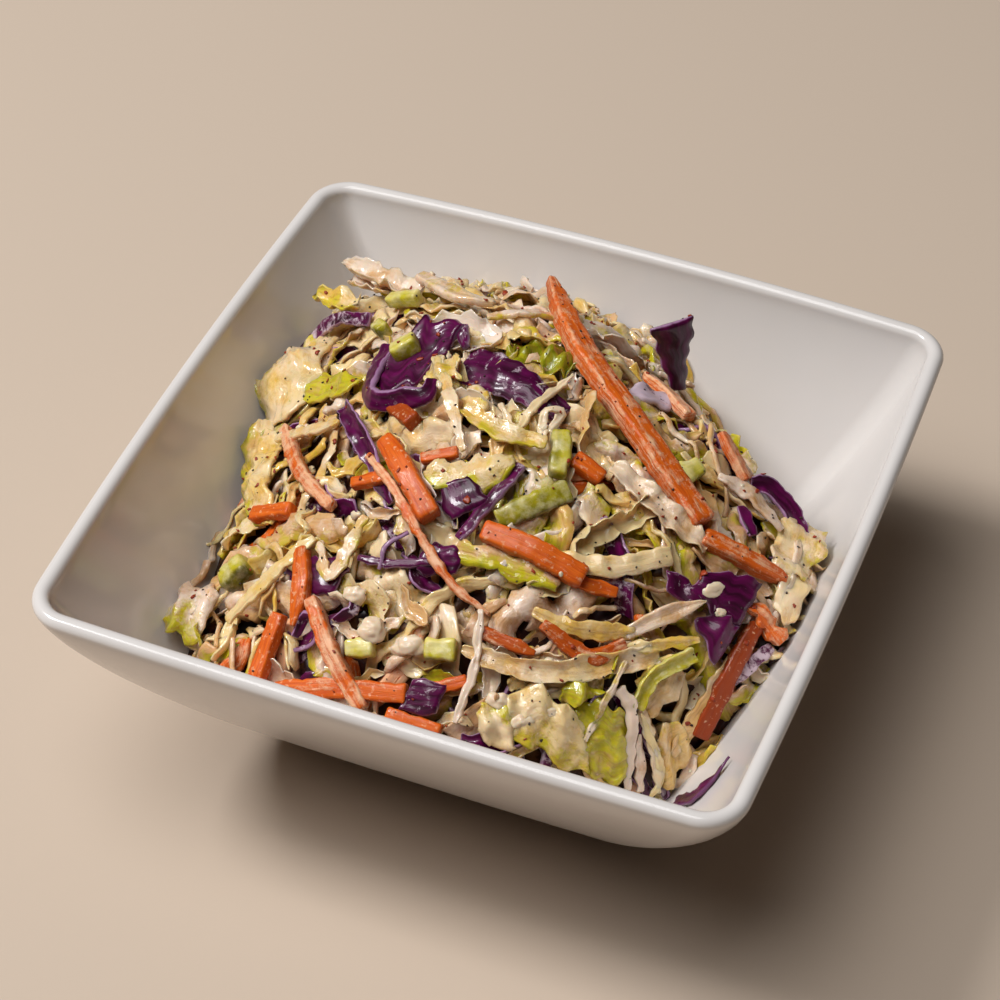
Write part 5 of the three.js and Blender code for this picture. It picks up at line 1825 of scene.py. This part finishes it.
@dataclass
class RedCabbagePieces(HandPlaced):
    """Red cabbage, in strips and in pieces of leaf."""

    batch: Batch = field(default_factory=lambda: Batch("red_cabbage_pieces"))
    slot: str = "red_cabbage"
    finish: Finish = RedCabbage()

    def build(self) -> None:
        """Lays the pieces that have their own place."""
        self.lay_strips(RED_STRIPS, 2000)
        self.lay_leaves(RED_LEAVES, 2500)


@dataclass
class GreenStalks(HandPlaced):
    """Spring onion and stalk, in cubes and short lengths."""

    batch: Batch = field(default_factory=lambda: Batch("green_stalks"))
    slot: str = "green_leaf"
    finish: Finish = GreenStalk()

    def build(self) -> None:
        """Lays the pieces."""
        self.lay_strips(STALKS, 3000)


@dataclass
class PlacedCabbage(HandPlaced):
    """The white cabbage that has its own place: leaf pieces and large shreds."""

    batch: Batch = field(default_factory=lambda: Batch("cabbage_leaves"))
    slot: str = "cabbage"
    finish: Finish = DressedCabbage()

    def build(self) -> None:
        """Lays the pieces."""
        self.lay_leaves(GREEN_LEAVES, 4000)
        self.lay_strips(SHREDS, 4500)


@dataclass
class Sliver:
    """The shred of red cabbage that lies apart, on the wall of the bowl."""

    heap: HeapForm
    path: Knots = ((50, -42, 1.5), (54, -44.5, 1.5), (57, -43, 1.5), (59, -40, 1.6))
    points: int = 22
    margin: float = 0.25  # kept from the bowl's wall
    seed: int = 51

    def build(self) -> Piece:
        """Makes the shred and dresses it."""
        path = spline(self.heap.place(self.path), self.points)
        cut = red(3.0, 0.9, 0.2, ends=(0.7, 0.08), late=1.3, cup=0.2)
        shell = strip(path, self.heap.normal(path), cut, self.seed)
        shell.points = self.heap.bowl.keep_in(shell.points, self.margin)
        skin_side = RedCabbage(name="red_cabbage_skin", cut="#6a3a62")
        batch = Batch("red_cabbage_shred_apart", [shell])
        return dress(batch, "red_cabbage", skin_side, stands_for="red_cabbage_sliver")


@dataclass
class Sprinkled:
    """Dressing, chilli and pepper, dropped on what lies on top."""

    heap: HeapForm
    pieces: Sequence[Piece]
    seed: int = 11
    beads: int = 24
    flakes: int = 230
    specks: int = 420
    blobs: Sequence[tuple[float, ...]] = (  # x, y, lift over the bed, width, length, height
        (-9.5, -43.5, 2.4, 4.4, 5.0, 3.5), (-2, -44, 1.8, 4.0, 6.4, 3.2),
        (-15, -38.5, 2.0, 3.4, 4.6, 2.7), (46, -13.2, 4.2, 2.6, 4.2, 1.1),
        (48.4, -15.2, 3.6, 1.6, 2.4, 0.9), (16.8, -46.6, 1.8, 3.4, 4.6, 2.4),
        (21.6, -47.4, 2.0, 3.0, 4.4, 2.2), (26.6, -43.6, 2.8, 2.6, 4.0, 1.6))
    blob_turn: float = 0.5  # heading of their length, in radians
    area: Pair = (-60, 62)  # where things fall, in both directions of the table
    release: float = 100.0  # height that they fall from
    flatness: float = 0.25  # least upward part of the normal where they stay
    headroom: float = 0.2   # kept under the food's ceiling

    def build(self) -> None:
        """Drops each kind from above and dresses it."""
        random = np.random.default_rng(self.seed)
        tree = self.surface()
        dressing = Batch("dressing_beads")
        chilli = Batch("chilli_flakes")
        pepper = Batch("pepper_specks")
        for x, y, lift, width, length, height in self.blobs:
            at = self.heap.place([[x, y, lift]])
            form = Lump((length, width, height), 0.24, 28, 18)
            seed = int(length * 100)
            shell = lump(at[0], self.heap.normal(at)[0], form, self.blob_turn, seed)
            dressing.shells.append(shell)
        for batch, many, form, lift in (
                (dressing, self.beads, self.bead, 0.0), (chilli, self.flakes, self.flake, 0.1),
                (pepper, self.specks, self.speck, 0.1)):
            for at, up in self.drop(tree, many, random):
                drawn = form(random)
                turn, seed = random.uniform(0, 6), int(random.integers(1 << 30))
                batch.shells.append(lump(at + up * lift, up, drawn, turn, seed))
        black = DriedSpice(name="black_pepper", light="#4a3526", dark="#150f0b", roughness=0.5)
        dress(dressing, "dressing", CreamyDressing())
        dress(chilli, "spice", DriedSpice())
        dress(pepper, "spice", black)

    def bead(self, random: Random) -> Lump:
        """A bead of dressing, flattened where it sits."""
        size = random.uniform(0.6, 1.7)
        return Lump((size * random.uniform(1, 1.6), size, size * 0.55), 0.25)

    def flake(self, random: Random) -> Lump:
        """A thin flake of chilli; about one in five is large."""
        size = random.uniform(0.45, 1.05) * random.choice([1, 1.8], p=[0.82, 0.18])
        return Lump((size, size * random.uniform(0.5, 0.9), 0.35), 0.5, 7, 4, 3.0)

    def speck(self, random: Random) -> Lump:
        """A cracked speck of pepper."""
        size = random.uniform(0.25, 0.65)
        return Lump((size, size * 0.8, size * 0.5), 0.4, 6, 4)

    def surface(self) -> BVHTree:
        """A search tree of all the food, in millimetres."""
        points, faces, base = [], [], 0
        for piece in self.pieces:
            mesh = piece.data
            places = np.zeros(len(mesh.vertices) * 3, np.float32)
            mesh.vertices.foreach_get("co", places)
            points.append(places.reshape(-1, 3) / MM)
            faces += [[v + base for v in face.vertices] for face in mesh.polygons]
            base += len(mesh.vertices)
        return BVHTree.FromPolygons(np.vstack(points).tolist(), faces)

    def drop(self, tree: BVHTree, many: int, random: Random) -> list[tuple[Array, Array]]:
        """Lets things fall on the heap.

        Args:
            tree: what they land on.
            many: how many.
            random: where their places are drawn from.

        Returns:
            For each, its place and the surface's normal there.
        """
        landed: list[tuple[Array, Array]] = []
        while len(landed) < many:
            x, y = random.uniform(*self.area, 2)
            if self.heap.dome(x, y) < self.heap.bowl.inside_height(x, y) + self.heap.wall_rest:
                continue
            place, normal, _, _ = tree.ray_cast(Vector((x, y, self.release)), Vector((0, 0, -1)))
            if place is None or normal.z < self.flatness:
                continue
            if place.z > self.heap.bowl.ceiling - self.headroom:
                continue
            landed.append((np.array(place), np.array(normal)))
        return landed


# ---- The studio ----


@dataclass
class Studio:
    """The pale floor, the soft lights and the camera."""

    camera_at: Triple = (143.04, -367.40, 439.24)
    azimuth: float = 21.4785  # degrees round from the front side
    elevation: float = 44.8091
    roll: float = 0.3729
    lens: float = 103.70
    sensor: float = 36.0
    floor_half: float = 1500.0
    # Name, place, side of the square and watts of each soft box.
    lights: Sequence[tuple[str, Triple, float, float]] = (
        ("key_light", (-850, -190, 1150), 320, 12.8),
        ("front_light", (-290, -330, 1376), 840, 11.6))
    aim: float = 45.0  # height over the table that the lights face
    sky: str = "#f0e4da"
    sky_strength: float = 0.035

    def build(self) -> None:
        """Sets up all of it."""
        self.floor()
        self.camera()
        self.world()
        for row in self.lights:
            self.light(*row)

    def floor(self) -> None:
        """A large matt plane that the bowl stands on."""
        h = self.floor_half
        corners = np.array([[-h, -h, 0], [h, -h, 0], [h, h, 0], [-h, h, 0]], float)
        sheet = plain(corners, np.array([[0, 1, 2, 3]]), np.zeros((0, 3), int))
        piece = Batch("studio_floor", [sheet]).build()
        piece.data.materials.append(PaleTable().material())

    def camera(self) -> None:
        """The camera, placed and turned by its azimuth, elevation and roll."""
        a, e, r = (math.radians(v) for v in (self.azimuth, self.elevation, self.roll))
        back = Vector((math.sin(a) * math.cos(e), -math.cos(a) * math.cos(e), math.sin(e)))
        right = Vector((math.cos(a), math.sin(a), 0))
        up = back.cross(right)
        x = right * math.cos(r) + up * math.sin(r)
        y = up * math.cos(r) - right * math.sin(r)
        lens = bpy.data.cameras.new("camera")
        lens.lens, lens.sensor_width = self.lens, self.sensor
        lens.clip_start, lens.clip_end = 0.01, 10  # metres
        camera = bpy.data.objects.new("camera", lens)
        turn = Matrix((x, y, back)).transposed().to_4x4()
        camera.matrix_world = Matrix.Translation(Vector(self.camera_at) * MM) @ turn
        bpy.context.scene.collection.objects.link(camera)
        bpy.context.scene.camera = camera

    def light(self, name: str, at: Triple, size: float, power: float) -> None:
        """A square white soft box aimed at the heap.

        Args:
            name: its name.
            at: its place in millimetres.
            size: its side in millimetres.
            power: its power in watts.
        """
        lamp = bpy.data.lights.new(name, "AREA")
        lamp.shape, lamp.size, lamp.energy = "SQUARE", size * MM, power
        box = bpy.data.objects.new(name, lamp)
        box.location = Vector(at) * MM
        towards = Vector((0, 0, self.aim * MM)) - box.location
        box.rotation_euler = towards.to_track_quat("-Z", "Y").to_euler()
        bpy.context.scene.collection.objects.link(box)

    def world(self) -> None:
        """Even light from all round, and a colour setting that keeps the food's colours."""
        world = bpy.data.worlds.new("studio")
        bpy.context.scene.world = world
        world.use_nodes = True
        tree = world.node_tree
        tree.nodes.clear()
        add(tree, "OutputWorld", add(tree, "Background", self.sky, self.sky_strength))
        bpy.context.scene.view_settings.view_transform = "Standard"


def main() -> None:
    """Builds the bowl, the heap and the studio."""
    logging.basicConfig(level=logging.INFO, format="%(name)s %(message)s")
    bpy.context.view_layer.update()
    Studio().build()
    bowl = BowlForm()
    heap = HeapForm(bowl)
    PorcelainBowl(bowl).build()
    pile = Pile(heap)
    carrots, reds = CarrotBatons(heap, pile), RedCabbagePieces(heap, pile)
    placed = (carrots, reds, GreenStalks(heap, pile), PlacedCabbage(heap, pile))
    for part in placed:
        part.build()
    strewn = StrewnShreds(heap, pile).strew(carrots.batch, reds.batch)
    food = [HeapCore(heap, pile).build(), *(part.dress() for part in placed)]
    food += [dress(strewn[kind], "cabbage", DressedCabbage()) for kind in CABBAGE]
    Sliver(heap).build()
    Sprinkled(heap, food).build()


if __name__ == "__main__":
    main()
